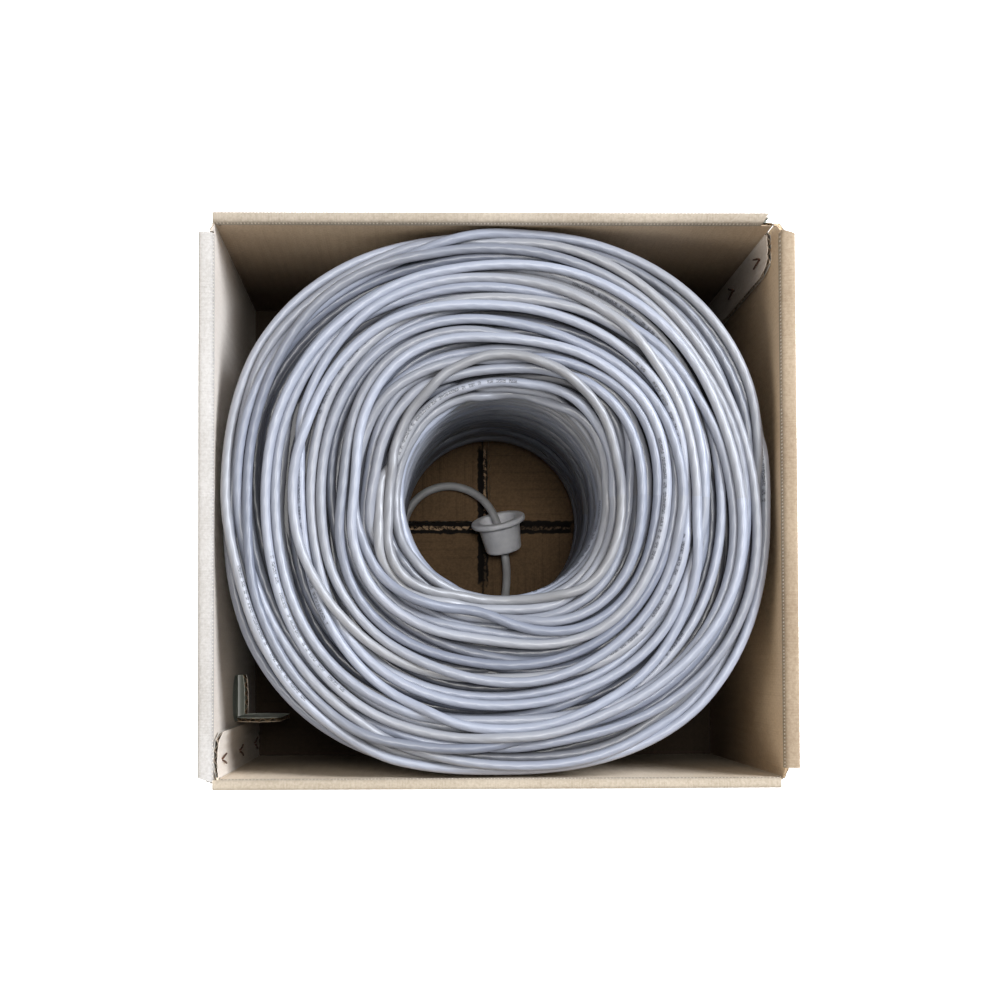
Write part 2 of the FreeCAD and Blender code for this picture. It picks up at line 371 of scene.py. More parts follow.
@dataclass(frozen=True)
class JacketFinish:
    """Cable jacket. Its map runs in metres along the cable and once round it."""

    name: str = "cable_jacket"
    base: Colour = colour(166, 171, 184)
    shade: Colour = colour(120, 125, 139)
    warm: Colour = colour(150, 149, 148)
    ink: Colour = colour(48, 49, 56)
    # Painted shade for the deeper layers, the core and the lower eye.
    painted_depth_shade: Colour = colour(42, 43, 50)
    mark_period: float = 550 * MM
    mark_length: float = 85 * MM
    mark_half_turn: float = 0.06
    stroke_pitch: float = 1.7 * MM
    lay_pitch: float = 11 * MM
    pairs: int = 4
    relief: float = 0.13 * MM

    def build(self) -> bpy.types.Material:
        """A satin jacket, uneven from turn to turn, painted darker as shade in the deeper layers
        and down the eye, with faint rows of ink strokes and the soft lay of the pairs inside."""
        g = Graph(self.name)
        chart = g.node("ShaderNodeUVMap", {"uv_map": "Map"})
        along, around, _ = g.axes(chart)
        number = g.node("ShaderNodeAttribute", {"attribute_name": "turn"}, {}, "Fac")
        turn = number.call("FRACT")
        cloudy = g.noise(g.vector(along * 9.0, around * 0.6, turn * 40.0), 1.0, 3.0)
        tone = turn * 0.75 + cloudy * 0.5 - 0.12
        base = g.mix(tone.ramp(0.1, 1.0), self.base, self.shade)
        warmth = g.noise(g.vector(along * 3.0, turn * 23.0, 0.0), 1.0, 1.0).ramp(0.42, 0.7)
        base = g.mix(warmth * 0.75, base, self.warm)
        # Painted shade: deeper layers and the core darken by their layer number, standing in for
        # the shade between strands.
        base = g.mix(number.ramp(0.98, 2.6, 0.0, 0.8), base, self.painted_depth_shade)
        # Painted shade: the eye's wall darkens downwards from 165 to 90 mm.
        x, y, rise = g.axes(g.node("ShaderNodeTexCoord", {}, {}, "Object"))
        eye_shade = (x * x + y * y).call("SQRT").ramp(82 * MM, 68 * MM)
        base = g.mix(rise.ramp(165 * MM, 90 * MM, 0.0, 0.5) * eye_shade, base, self.painted_depth_shade)
        ink = self.strokes(g, along, around, turn)
        base = g.mix(ink * 0.75, base, self.ink)
        dust = g.noise(g.vector(along * 160.0, around * 2.4, 0.0), 1.0, 3.0)
        lay = ((along / self.lay_pitch + around * float(self.pairs)) * (2 * math.pi)).call("SINE")
        return g.finish(
            Base_Color=base, Roughness=0.29 + cloudy * 0.13 + ink * 0.1,
            Normal=g.bump(lay * 0.32 + dust * 0.6, self.relief, 0.9), Specular_IOR_Level=0.7,
        )

    def strokes(self, g: Graph, along: Socket, around: Socket, turn: Socket) -> Socket:
        """1 in the ink of a stretch of broken strokes once a period, else 0."""
        spot = (along / self.mark_period + turn * 7.3).call("FRACT")
        inside = spot < self.mark_length / self.mark_period
        band = abs(around.call("FRACT") - 0.5) < self.mark_half_turn
        cell = along / self.stroke_pitch
        stroke = g.node("ShaderNodeTexWhiteNoise", {"noise_dimensions": "1D"},
                        {"W": cell.call("FLOOR")}, 0)
        shape = g.noise(g.vector(cell * 1.7, around * 42.0, 5.0), 1.0, 1.0) > 0.47
        return inside * band * (stroke > 0.28) * shape


@dataclass(frozen=True)
class LeadFinish:
    """The same jacket on the free inner end, which has no map and reads its place instead."""

    name: str = "lead_jacket"
    relief: float = 0.08 * MM

    def build(self) -> bpy.types.Material:
        """A satin jacket, a little greyed where it has been handled."""
        g = Graph(self.name)
        place = g.node("ShaderNodeTexCoord", {}, {}, "Object")
        cloudy = g.noise(place, 45.0, 3.0)
        fine = g.noise(place, 900.0, 2.0)
        base = g.mix(cloudy.ramp(0.3, 0.7), colour(178, 180, 182), colour(152, 152, 153))
        return g.finish(Base_Color=base, Roughness=0.4 + fine * 0.12, Specular_IOR_Level=0.5,
                        Normal=g.bump(fine + cloudy * 2.0, self.relief, 0.6))


@dataclass(frozen=True)
class PlasticFinish:
    """Moulded plastic, with a soft inner glow where it is thin."""

    name: str
    base: Colour
    dull: Colour
    roughness: float = 0.34
    glow: float = 0.35
    relief: float = 0.08 * MM

    def build(self) -> bpy.types.Material:
        """Slightly cloudy plastic with fine moulding texture."""
        g = Graph(self.name)
        place = g.node("ShaderNodeTexCoord", {}, {}, "Object")
        cloudy = g.noise(place, 120.0, 3.0)
        fine = g.noise(place, 1800.0, 2.0)
        base = g.mix(cloudy.ramp(0.3, 0.75), self.base, self.dull)
        return g.finish(
            Base_Color=base, Roughness=self.roughness + fine * 0.12,
            Normal=g.bump(fine * 0.5 + cloudy, self.relief, 0.5),
            Subsurface_Weight=self.glow, Subsurface_Radius=(0.004, 0.004, 0.0042),
            Subsurface_Scale=1.0, Specular_IOR_Level=0.5,
        )


@dataclass(frozen=True)
class WireFinish:
    """Flat stitching wire, dulled and a little rusty."""

    name: str = "stitch_wire"
    relief: float = 0.1 * MM

    def build(self) -> bpy.types.Material:
        """Coppered steel that has darkened in spots."""
        g = Graph(self.name)
        place = g.node("ShaderNodeTexCoord", {}, {}, "Object")
        rust = g.noise(place, 420.0, 4.0).ramp(0.4, 0.65)
        base = g.mix(rust, colour(112, 78, 58), colour(58, 34, 25))
        return g.finish(Base_Color=base, Metallic=0.6 - rust * 0.5, Roughness=0.4 + rust * 0.3,
                        Normal=g.bump(rust, self.relief, 0.6))


@dataclass(frozen=True)
class FloorFinish:
    """A plain pale floor, painted dark as shade inside the box's edge and glowing beyond the open
    edge.
    """

    name: str = "pale_floor"
    box_edge: float = 157 * MM
    open_edge: float = 168 * MM

    def build(self) -> bpy.types.Material:
        """Even white, lit from below like a light table, but painted dark grey as shade under the
        box.
        """
        g = Graph(self.name)
        x, y, _ = g.axes(g.node("ShaderNodeTexCoord", {}, {}, "Object"))
        open_floor = (abs(x) | abs(y)).ramp(self.box_edge, self.open_edge)
        # Painted shade: dark grey without glow under and just round the box.
        return g.finish(
            Base_Color=g.mix(open_floor, colour(96, 98, 92), colour(250, 250, 250)),
            Roughness=0.9, Emission_Strength=0.8,
            Emission_Color=g.mix(open_floor, colour(0, 0, 0), colour(255, 255, 255)),
        )


class Paper(Enum):
    """Which face of a board a surface belongs to, as its material's number on a board piece."""

    INSIDE = 0
    OUTSIDE = 1
    FLUTING = 2


# ---- surfaces ------------------------------------------------------------------------------------
@dataclass
class Surface:
    """A stretch of surface: points, four-sided faces, map places and a turn number per point.

    The map places are one per point, or one per face corner where the map has a seam.
    """

    points: np.ndarray
    faces: np.ndarray
    chart: np.ndarray
    finish: int = 0
    turn: np.ndarray | None = None

    def outward(self) -> "Surface":
        """The same closed surface with its faces turned outwards, judged by its signed volume."""
        a, b, c, d = (self.points[self.faces[:, i]] for i in range(4))
        volume = np.einsum("ij,ij->i", a, np.cross(b, c)) + np.einsum("ij,ij->i", a, np.cross(c, d))
        if volume.sum() < 0:
            self.faces = self.faces[:, ::-1]
        return self

    @property
    def corners(self) -> np.ndarray:
        """Map places of every face corner, in order."""
        return self.chart.reshape(-1, 2) if self.chart.ndim == 3 else self.chart[self.faces.ravel()]


def grid_faces(rows: int, columns: int, wrap_rows: bool = False, wrap_columns: bool = False,
               start: int = 0) -> np.ndarray:
    """Quads of a grid whose points run column by column within each row.

    Args:
        rows, columns: the grid's counts of points.
        wrap_rows, wrap_columns: whether the last joins the first.
        start: the first point's number.
    Returns:
        One row of four point numbers per quad.
    """
    i = np.arange(rows if wrap_rows else rows - 1)[:, None]
    j = np.arange(columns if wrap_columns else columns - 1)[None, :]
    here, right = i * columns + j, i * columns + (j + 1) % columns
    up = ((i + 1) % rows) * columns
    quads = np.stack([here, right, up + (j + 1) % columns, up + j], -1)
    return quads.reshape(-1, 4) + start


def make_piece(name: str, parts: list[Surface], finishes: list[bpy.types.Material],
               crease_angle: float = 40.0) -> bpy.types.Object:
    """One mesh object at the origin from several surfaces.

    Args:
        name: the piece's name.
        parts: its surfaces.
        finishes: materials, in the order that each surface's finish number counts.
        crease_angle: edges sharper than this many degrees stay crisp.
    Returns:
        The new object.
    """
    counts = np.cumsum([0] + [len(p.points) for p in parts])
    points = np.concatenate([p.points for p in parts])
    faces = np.concatenate([p.faces + n for p, n in zip(parts, counts)]).astype(np.int32)
    chart = np.concatenate([p.corners for p in parts])
    mesh = bpy.data.meshes.new(name)
    mesh.vertices.add(len(points))
    mesh.vertices.foreach_set("co", points.astype(np.float32).ravel())
    mesh.loops.add(faces.size)
    mesh.loops.foreach_set("vertex_index", faces.ravel())
    mesh.polygons.add(len(faces))
    mesh.polygons.foreach_set("loop_start", np.arange(0, faces.size, 4, dtype=np.int32))
    mesh.polygons.foreach_set(
        "material_index", np.concatenate([np.full(len(p.faces), p.finish, np.int32) for p in parts])
    )
    mesh.update(calc_edges=True)
    layer = mesh.uv_layers.new(name="Map")
    layer.uv.foreach_set("vector", chart.astype(np.float32).ravel())
    turns = np.concatenate(
        [np.zeros(len(p.points)) if p.turn is None else p.turn for p in parts]
    )
    attribute = mesh.attributes.new("turn", "FLOAT", "POINT")
    attribute.data.foreach_set("value", turns.astype(np.float32))
    for material in finishes:
        mesh.materials.append(material)
    mesh.polygons.foreach_set("use_smooth", np.ones(len(faces), bool))
    mesh.set_sharp_from_angle(angle=math.radians(crease_angle))
    mesh.validate()
    piece = bpy.data.objects.new(name, mesh)
    bpy.context.scene.collection.objects.link(piece)
    return piece


def settle(piece: bpy.types.Object, body: str, slot: str, *nodes: str) -> bpy.types.Object:
    """Rides a piece on its body, hides the nodes that it stands for, and logs it."""
    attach(piece, body)
    if nodes:
        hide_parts(*nodes)
    log.info("%s on %s: %d faces", piece.name, body, len(piece.data.polygons))
    return piece


def tubes(lines: np.ndarray, radius: float, sides: int, turn: np.ndarray, closed: bool = True,
          finish: int = 0) -> Surface:
    """Round tubes along many lines at once.

    Each ring's centre is a line point; its two axes are the level sideways direction and the one
    square to both that and the line, so every ring stands square to its line.

    Args:
        lines: lines by points by three, all with the same count of points.
        radius: the tubes' radius.
        sides: faces round each tube.
        turn: one number per line, for the finish.
        closed: whether each line's end joins its start.
        finish: the material's number.
    Returns:
        One surface of all the tubes. Its chart is metres along and once round.
    """
    count, steps, _ = lines.shape
    if closed:
        ahead = np.roll(lines, -1, 1) - np.roll(lines, 1, 1)
        gaps = np.linalg.norm(np.roll(lines, -1, 1) - lines, axis=2)
    else:
        ahead = np.gradient(lines, axis=1)
        gaps = np.linalg.norm(np.diff(lines, axis=1, append=lines[:, -1:]), axis=2)
    ahead /= np.linalg.norm(ahead, axis=2, keepdims=True)
    side = np.cross(ahead, [0.0, 0.0, 1.0])
    side /= np.linalg.norm(side, axis=2, keepdims=True)
    top = np.cross(side, ahead)
    angle = np.linspace(0, 2 * np.pi, sides, endpoint=False)
    ring = side[:, :, None] * np.cos(angle)[:, None] + top[:, :, None] * np.sin(angle)[:, None]
    points = lines[:, :, None] + ring * radius
    length = np.concatenate([np.zeros((count, 1)), np.cumsum(gaps, 1)], 1)
    row = np.arange(steps if closed else steps - 1)
    here = np.broadcast_to(length[:, row, None, None], (count, len(row), sides, 1))
    ahead_of = np.broadcast_to(length[:, row + 1, None, None], (count, len(row), sides, 1))
    column = np.broadcast_to((np.arange(sides) / sides)[None, None, :, None],
                             (count, len(row), sides, 1)) + turn[:, None, None, None]
    beside = column + 1 / sides
    chart = np.stack([np.concatenate(x, -1) for x in (
        (ahead_of, column), (ahead_of, beside), (here, beside), (here, column))], -2)
    faces = [grid_faces(steps, sides, closed, True, k * steps * sides) for k in range(count)]
    turns = np.repeat(turn, steps * sides)
    return Surface(points.reshape(-1, 3), np.concatenate(faces)[:, ::-1],
                   chart.reshape(-1, 4, 2), finish, turns)


# ---- corrugated board ----------------------------------------------------------------------------
@dataclass(frozen=True)
class Board:
    """Corrugated board: an inside liner, a wavy fluting and an outside liner."""

    thickness: float
    flute_pitch: float = 5.46 * MM
    liner: float = 0.34 * MM
    fluting: float = 0.26 * MM
    washboard: float = 0.05 * MM
    chart_step: float = 10 * MM
    samples: int = 6

    def stations(self, start: float, end: float, extra: tuple[float, ...] = ()) -> np.ndarray:
        """Distances across the flutes: even steps, so many to a flute, and extra places."""
        steps = max(8, round((end - start) / self.flute_pitch * self.samples))
        inner = [x for x in extra if start < x < end]
        return np.unique(np.concatenate([np.linspace(start, end, steps + 1), inner]))

    def slab(self, place: Place, across: np.ndarray, low: np.ndarray, high: np.ndarray,
             near: np.ndarray, far: np.ndarray, rows: np.ndarray, paper: Paper) -> Surface:
        """One closed sheet of paper.

        A point is place(a, b, c): a across the flutes, b along them from low(a) to high(a) at the
        shares in rows, and c through the board from near(a) to far(a).
        """
        a = np.repeat(across[:, None], len(rows), 1)
        b = low[:, None] + rows * (high - low)[:, None]
        skins = [place(a, b, np.repeat(c[:, None], len(rows), 1)).reshape(-1, 3)
                 for c in (near, far)]
        count, n, m = a.size, len(across), len(rows)
        first = grid_faces(n, m)
        rim = np.concatenate([
            np.arange(m), np.arange(1, n) * m + m - 1, (n - 1) * m + np.arange(m - 2, -1, -1),
            np.arange(n - 2, 0, -1) * m,
        ])
        after = np.roll(rim, -1)
        sides = np.stack([rim, after, after + count, rim + count], -1)
        faces = np.concatenate([first, first[:, ::-1] + count, sides[:, ::-1]])
        chart = np.stack([a / self.flute_pitch, b / self.chart_step], -1).reshape(-1, 2)
        made = Surface(np.concatenate(skins), faces, np.concatenate([chart, chart]), paper.value)
        return made.outward()

    def layers(self, place: Place, across: np.ndarray, low: np.ndarray, high: np.ndarray,
               rows: np.ndarray) -> list[Surface]:
        """The board's three papers. c is 0 on the inside face and the thickness on the outside.

        The liners ripple like a washboard, by the cosine of the flute angle; the fluting follows
        the sine of it between them.
        """
        angle = across / self.flute_pitch * 2 * np.pi
        ripple = self.washboard * np.cos(angle)
        middle = self.thickness / 2
        swing = middle - self.liner - self.fluting / 2
        wave = middle + swing * np.cos(angle)
        full, flat = self.thickness, np.zeros_like(across)
        return [
            self.slab(place, across, low, high, ripple * 0.5 + self.washboard / 2,
                      flat + self.liner, rows, Paper.INSIDE),
            self.slab(place, across, low, high, flat + full - self.liner,
                      full + ripple * 0.5 - self.washboard / 2, rows, Paper.OUTSIDE),
            self.slab(place, across, low, high, wave - self.fluting / 2, wave + self.fluting / 2,
                      rows, Paper.FLUTING),
        ]


class Turn(Enum):
    """The half turn that makes the second folded sheet from the first one's plan."""

    FIRST = 1.0
    SECOND = -1.0


@dataclass(frozen=True)
class FoldedSheet:
    """Two walls and a stitch tab folded from one sheet, as seen from above.

    The plan starts at a side wall's free end, runs along it, folds round a corner, runs along the
    end wall, folds again and ends at the tab's free edge.
    """

    board: Board
    turn: Turn
    half_width: float
    half_length: float
    side_start: float
    tab_width: float
    fold: float = 0.9 * MM

    @property
    def marks(self) -> tuple[float, float, float, float, float]:
        """Distances along the sheet where each straight and each fold ends."""
        bend = self.fold * math.pi / 2
        first = self.half_length - self.side_start - self.fold
        second = 2 * self.half_width - self.board.thickness - 2 * self.fold
        third = self.tab_width - self.fold
        return (first, first + bend, first + bend + second, first + 2 * bend + second,
                first + 2 * bend + second + third)

    def plan(self, a: np.ndarray) -> tuple[np.ndarray, np.ndarray]:
        """Inside-face points and outward normals at distances a along the sheet.

        Straights add their own length along their heading; each fold adds an arc of the fold
        radius that turns the heading a quarter clockwise.
        """
        s0, s1, s2, s3, _ = self.marks
        r = self.fold
        f, g = np.clip((a - s0) / r, 0, np.pi / 2), np.clip((a - s2) / r, 0, np.pi / 2)
        one, two = np.clip(a, None, s0), np.clip(a - s1, 0, s2 - s1)
        three = np.clip(a - s3, 0, None)
        x = -self.half_width + r * (1 - np.cos(f)) + two + r * np.sin(g)
        y = self.side_start + one + r * np.sin(f) - r * (1 - np.cos(g)) - three
        heading = f + g
        flip = self.turn.value
        return (np.stack([x, y], -1) * flip,
                np.stack([-np.cos(heading), np.sin(heading)], -1) * flip)

    def place(self, bow: float, lean: float, rim: float, wrinkle: float, seed: float) -> Place:
        """How a wall's board lies: upright, bowed by sines across and up it, and rounded in at
        its bottom edge. The board is crushed thin at the top of its corners.

        Args:
            bow: how far its middle stands out.
            lean: how far a tab's free top corner leans in from the wall.
            rim: the height where the shapes reach their full size.
            wrinkle: the height of small waves in the board.
            seed: where those waves start.
        Returns:
            The board's place function.
        """
        s0, s1, s2, s3, s4 = self.marks
        edge, crush_width, crush_depth, crushed = 2.2 * MM, 5 * MM, 12 * MM, 0.55

        def at(a: np.ndarray, b: np.ndarray, c: np.ndarray) -> np.ndarray:
            """Plan point plus the outward normal times c and the bow."""
            plan, normal = self.plan(a)
            start = np.where(a < s1, 0.0, np.where(a < s3, s1, s3))
            span = np.where(a < s1, s0, np.where(a < s3, s2 - s1, s4 - s3))
            share = np.clip((a - start) / span, 0, 1)
            up = np.clip(b / rim, 0, 1)
            shape = np.sin(np.pi * share) * np.sin(np.pi * up * 0.62)
            push = bow * shape - lean * share * up ** 3
            push = push + wrinkle * np.sin(9 * share * np.pi + seed) * np.sin(7 * up + 3 * share)
            low = np.clip(1 - b / edge, 0, 1)
            tuck = edge * (1 - np.sqrt(1 - low ** 2)) * c / self.board.thickness
            near = np.minimum(np.abs(a - (s0 + s1) / 2), np.abs(a - (s2 + s3) / 2))
            crush = np.exp(-(near / crush_width) ** 2) * np.clip((b - rim) / crush_depth + 1, 0, 1)
            tuck = tuck + crushed * crush * c
            flat = plan + normal * (c + push - tuck)[..., None]
            return np.concatenate([flat, b[..., None]], -1)

        return at


def square_to(ahead: np.ndarray) -> tuple[np.ndarray, np.ndarray]:
    """The level direction square to a unit one, and the direction square to both."""
    side = np.cross(ahead, [0, 0, 1.0])
    side /= np.linalg.norm(side)
    return side, np.cross(side, ahead)


def even(count: int) -> np.ndarray:
    """Even shares from 0 to 1."""
    return np.linspace(0, 1, count)


class Cut(Enum):
    """Which part of a wall's height a strip is: all of it, or one side of the hand hole."""

    WHOLE = 0
    BELOW = 1
    ABOVE = 2


@dataclass(frozen=True)
class Slot:
    """The hand hole: an upright slot with round ends, at its places along a sheet and up it."""

    middle: float
    centre: float
    radius: float
    rise: float

    def half(self, across: np.ndarray) -> np.ndarray:
        """Half its height at distances along the sheet."""
        return self.rise + np.sqrt(np.clip(self.radius ** 2 - (across - self.middle) ** 2, 0, None))

    def ends(self) -> np.ndarray:
        """Distances along the sheet of points spread evenly round its ends."""
        return self.middle - self.radius * np.cos(np.linspace(0, np.pi, 33))


@dataclass(frozen=True)
class Skins:
    """A soft fold's section, by the share along its outer and its inner skin.

    Places run from -1 on the wall's side to 1 on the flap's. Edge is 1 where the outer skin's top
    turns down, and top is the height of a round arc, for ripples and a slow wave.
    """

    outer_x: np.ndarray
    outer_z: np.ndarray
    inner_x: np.ndarray
    inner_z: np.ndarray
    edge: np.ndarray
    top: np.ndarray

    @property
    def steps(self) -> np.ndarray:
        """The shares along the skins where the section is given."""
        return even(len(self.outer_x))

    def at(self, values: np.ndarray, share: np.ndarray) -> np.ndarray:
        """Values of the section at shares between its steps."""
        return np.interp(share, self.steps, values)


@dataclass
class Carton:
    """The corrugated carton: walls, tabs, folds, bottom flaps, top flaps and hand-hole flap.

    Insides and crests are papers by side, each lighter or darker as painted light and shade
    for that side. The other paper lists go in the order of Paper.

    Spans are the visible ends of each top fold along its wall, and slants how much further its
    inner side reaches at each end, in millimetres.
    """

    insides: dict[str, bpy.types.Material]
    papers: list[bpy.types.Material]
    flap_papers: list[bpy.types.Material]
    tab_papers: list[bpy.types.Material]
    floor_papers: list[bpy.types.Material]
    crests: dict[str, bpy.types.Material]
    wire: bpy.types.Material
    board: Board = field(init=False)
    crease_depth: float = 4.4 * MM
    strip_overlap: float = 0.4 * MM
    lap: float = 5.0 * MM
    slit: float = 0.5 * MM
    notch: float = 14.0 * MM
    bow: float = 0.9 * MM
    wrinkle: float = 0.18 * MM
    tab_lean: float = 1.3 * MM
    step_gap: float = 3.3 * MM
    spans: ClassVar[dict[str, tuple[float, float]]] = {
        "back": (-142.6, 148.7), "front": (-148.2, 146.3), "left": (-139.0, 143.6),
        "right": (-140.0, 138.5)}
    slants: ClassVar[dict[str, tuple[float, float]]] = {
        "back": (3.2, 0.0), "front": (0.0, 0.0), "left": (0.0, 2.7), "right": (0.0, 2.8)}

    def __post_init__(self) -> None:
        """Reads the carton's sizes from the fixed frame."""
        self.right, self.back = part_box("right_wall")[0].x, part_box("back_wall")[0].y
        low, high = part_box("back_wall")
        self.board = Board(high.y - low.y)
        self.inner_rim = high.z
        self.outer_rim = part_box("left_wall")[1].z
        self.floor = 2 * self.board.thickness
        self.joints = {j["name"]: j for j in frame["joints"]}

    def build(self) -> None:
        """Makes every board piece."""
        self.walls()
        self.top_flaps()
        self.bottom_flaps()
        self.hand_flap()
        self.stitches("back_tab_stitches", 1.0)
        self.stitches("front_tab_stitches", -1.0)

    def stitches(self, name: str, side: float) -> None:
        """Bent wire stitches on a tab: a V of clinched ends inside and a straight crown outside.

        Args:
            name: the stitches' node, whose separate wires give the heights.
            side: +1 on the right wall, -1 on the left.
        """
        mesh = frame["nodes"][name].data
        places = np.empty(len(mesh.vertices) * 3)
        mesh.vertices.foreach_get("co", places)
        places = places.reshape(-1, 3)
        heights = np.sort(places[:, 2])
        groups = np.split(heights, np.nonzero(np.diff(heights) > 15 * MM)[0] + 1)
        middle = (places[:, 1].min() + places[:, 1].max()) / 2
        thick, face = self.board.thickness, self.right - self.board.thickness
        crown = 2 * thick + 0.35 * MM
        proud, flush = -0.54 * MM, -0.09 * MM
        parts = []
        for number, group in enumerate(groups):
            centre = (group[0] + group[-1]) / 2
            tip = (0.7 - 0.5 * number) * MM
            route = np.array([
                (proud, 2.6 * MM + tip, -5.5 * MM), (proud, 1.6 * MM, 1.0 * MM),
                (flush, 0.3 * MM, 5.4 * MM), (thick + 0.1 * MM, 0.2 * MM, 5.2 * MM),
                (crown, 0.1 * MM, 5.0 * MM), (crown, -0.3 * MM, -4.9 * MM),
                (crown, -0.7 * MM, 3.4 * MM), (thick, -0.8 * MM, 3.6 * MM),
                (flush, -0.8 * MM, 3.6 * MM), (proud, -1.8 * MM, -1.0 * MM),
                (proud, -3.2 * MM - tip, -6.0 * MM),
            ])
            spread = np.linspace(0, len(route) - 1, 55)
            marks = np.arange(len(route))
            out, along, up = (np.interp(spread, marks, route[:, i]) for i in range(3))
            line = np.stack([side * (face + out), side * (abs(middle) - along), centre + up], -1)
            line[1:-1] += 0.5 * (line[2:] + line[:-2] - 2 * line[1:-1])
            parts.append(tubes(line[None], 0.5 * MM, 10, np.zeros(1), False))
        settle(make_piece(name + "_bent", parts, [self.wire]), "carton", "stitch_wire", name)

    # -- walls
    def walls(self) -> None:
        """Both folded sheets, each cut into two walls and a tab at the middle of its folds."""
        half_x, half_y = self.right, self.back
        for turn, side, end, tab in (
            (Turn.FIRST, "left_wall", "back_wall", "back_stitch_tab"),
            (Turn.SECOND, "right_wall", "front_wall", "front_stitch_tab"),
        ):
            tab_low, tab_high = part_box(tab)
            sheet = FoldedSheet(self.board, turn, half_x, half_y, -half_y - self.board.thickness,
                                tab_high.y - tab_low.y)
            s0, s1, s2, s3, s4 = sheet.marks
            bends = tuple(np.concatenate([np.linspace(s0, s1, 7), np.linspace(s2, s3, 7)]))
            ranges = (
                (side, 0.0, (s0 + s1) / 2, self.outer_rim - self.lap, 0.0),
                (end, (s0 + s1) / 2, (s2 + s3) / 2, self.inner_rim - self.lap, 0.0),
                (tab, (s2 + s3) / 2, s4, tab_high.z, self.tab_lean),
            )
            for name, start, stop, top, lean in ranges:
                self.panel(sheet, name, start, stop, top, lean, bends)

    def panel(self, sheet: FoldedSheet, name: str, start: float, stop: float, top: float,
              lean: float, bends: tuple[float, ...]) -> None:
        """One wall or tab, from start to stop along its sheet.

        Args:
            sheet: the sheet it is part of.
            name: its node.
            start, stop: its ends along the sheet.
            top: its top edge's height.
            lean: how far it leans in.
            bends: distances along the sheet that its points must keep.
        """
        place = sheet.place(self.bow, lean, self.inner_rim, self.wrinkle, len(name))
        if name.endswith("tab"):
            papers = self.tab_papers
            parts = self.tab_parts(sheet, place, start, stop, top, bends)
        else:
            papers = [self.insides[name.split("_")[0]], *self.papers]
            parts = self.wall_parts(sheet, place, name, start, stop, top, bends)
        settle(make_piece(name + "_board", parts, papers), "carton", "board", name)

    def tab_parts(self, sheet: FoldedSheet, place: Place, start: float, stop: float, top: float,
                  bends: tuple[float, ...]) -> list[Surface]:
        """A tab's papers, from the floor up, with its free top corner cut off."""
        cut_width, cut_height = 4 * MM, 13 * MM
        across = self.board.stations(start, stop, bends)
        low, high = np.full_like(across, self.floor), np.full_like(across, top)
        high -= cut_height * np.clip((across - (sheet.marks[-1] - cut_width)) / cut_width, 0, 1)
        return self.board.layers(place, across, low, high, even(12))

    def wall_parts(self, sheet: FoldedSheet, place: Place, name: str, start: float, stop: float,
                   top: float, bends: tuple[float, ...]) -> list[Surface]:
        """A wall's papers. Its top is cut away under its fold but stands to the rim beside it, and
        the left wall is cut into strips about the hand hole."""
        low_corner, high_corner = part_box("top_flap_" + name.split("_")[0])
        if name in ("left_wall", "right_wall"):
            near = low_corner.y - sheet.side_start
            span = (near, near + high_corner.y - low_corner.y)
        else:
            near = sheet.marks[1] + (low_corner.x + sheet.half_width - sheet.fold)
            span = (near, near + high_corner.x - low_corner.x)
        ease = 0.5 * MM
        marks = bends + (span[0] - ease, span[0], span[1], span[1] + ease)
        slot = self.hand_hole(sheet)
        near, far = slot.middle - slot.radius, slot.middle + slot.radius
        cuts = [(start, stop, Cut.WHOLE)]
        if name == "left_wall":
            cuts = [(start, near, Cut.WHOLE), (near, far, Cut.BELOW), (near, far, Cut.ABOVE),
                    (far, stop, Cut.WHOLE)]
        parts = []
        for first, last, cut in cuts:
            across = self.board.stations(first, last, marks)
            if cut is not Cut.WHOLE:
                across = np.unique(np.concatenate([across, slot.ends()]))
            high, low = np.full_like(across, top), np.zeros_like(across)
            beside = np.clip(np.maximum(span[0] - across, across - span[1]) / ease, 0, 1)
            high += (self.lap - 0.6 * MM) * beside - self.dip(sheet, across)
            if cut is Cut.BELOW:
                high = slot.centre - slot.half(across)
            if cut is Cut.ABOVE:
                low = slot.centre + slot.half(across)
            parts += self.board.layers(place, across, low, high, even(12))
        for first, last in ((start, span[0]), (span[1], stop)):
            parts.append(self.corner_filling(sheet, place, first, last, top, bends))
        return parts

    def corner_filling(self, sheet: FoldedSheet, place: Place, first: float, last: float,
                       top: float, bends: tuple[float, ...]) -> Surface:
        """Crushed paper that closes a wall's top edge between its liners beside the fold."""
        across = np.unique(np.concatenate([
            np.linspace(first, last, 9), [m for m in bends if first < m < last]]))
        edge = np.full_like(across, top + self.lap - 0.9 * MM)
        edge -= self.dip(sheet, across)
        skin = self.board.liner * 0.8
        near = np.full_like(across, skin)
        far = np.full_like(across, self.board.thickness - skin)
        return self.board.slab(place, across, edge - 2 * MM, edge, near, far, even(3), Paper.INSIDE)

    def dip(self, sheet: FoldedSheet, across: np.ndarray) -> np.ndarray:
        """How far the rim is cut down at the sheet's free end and at its first corner."""
        corner = (sheet.marks[0] + sheet.marks[1]) / 2
        return 11 * MM * np.clip(1 - across / (7 * MM), 0, 1) + (
            5 * MM * np.clip(1 - np.abs(across - corner) / (4 * MM), 0, 1))

    def hand_hole(self, sheet: FoldedSheet) -> Slot:
        """The slot a slit's width larger than the hand-hole flap, which hangs open beside it."""
        low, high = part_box("hand_hole_flap")
        radius = (high.x - low.x) / 2 + self.slit
        middle = low.y - self.slit / 2 + radius - sheet.side_start
        rise = (high.z - low.z) / 2 + self.slit - radius
        return Slot(middle, (high.z + low.z) / 2, radius, rise)

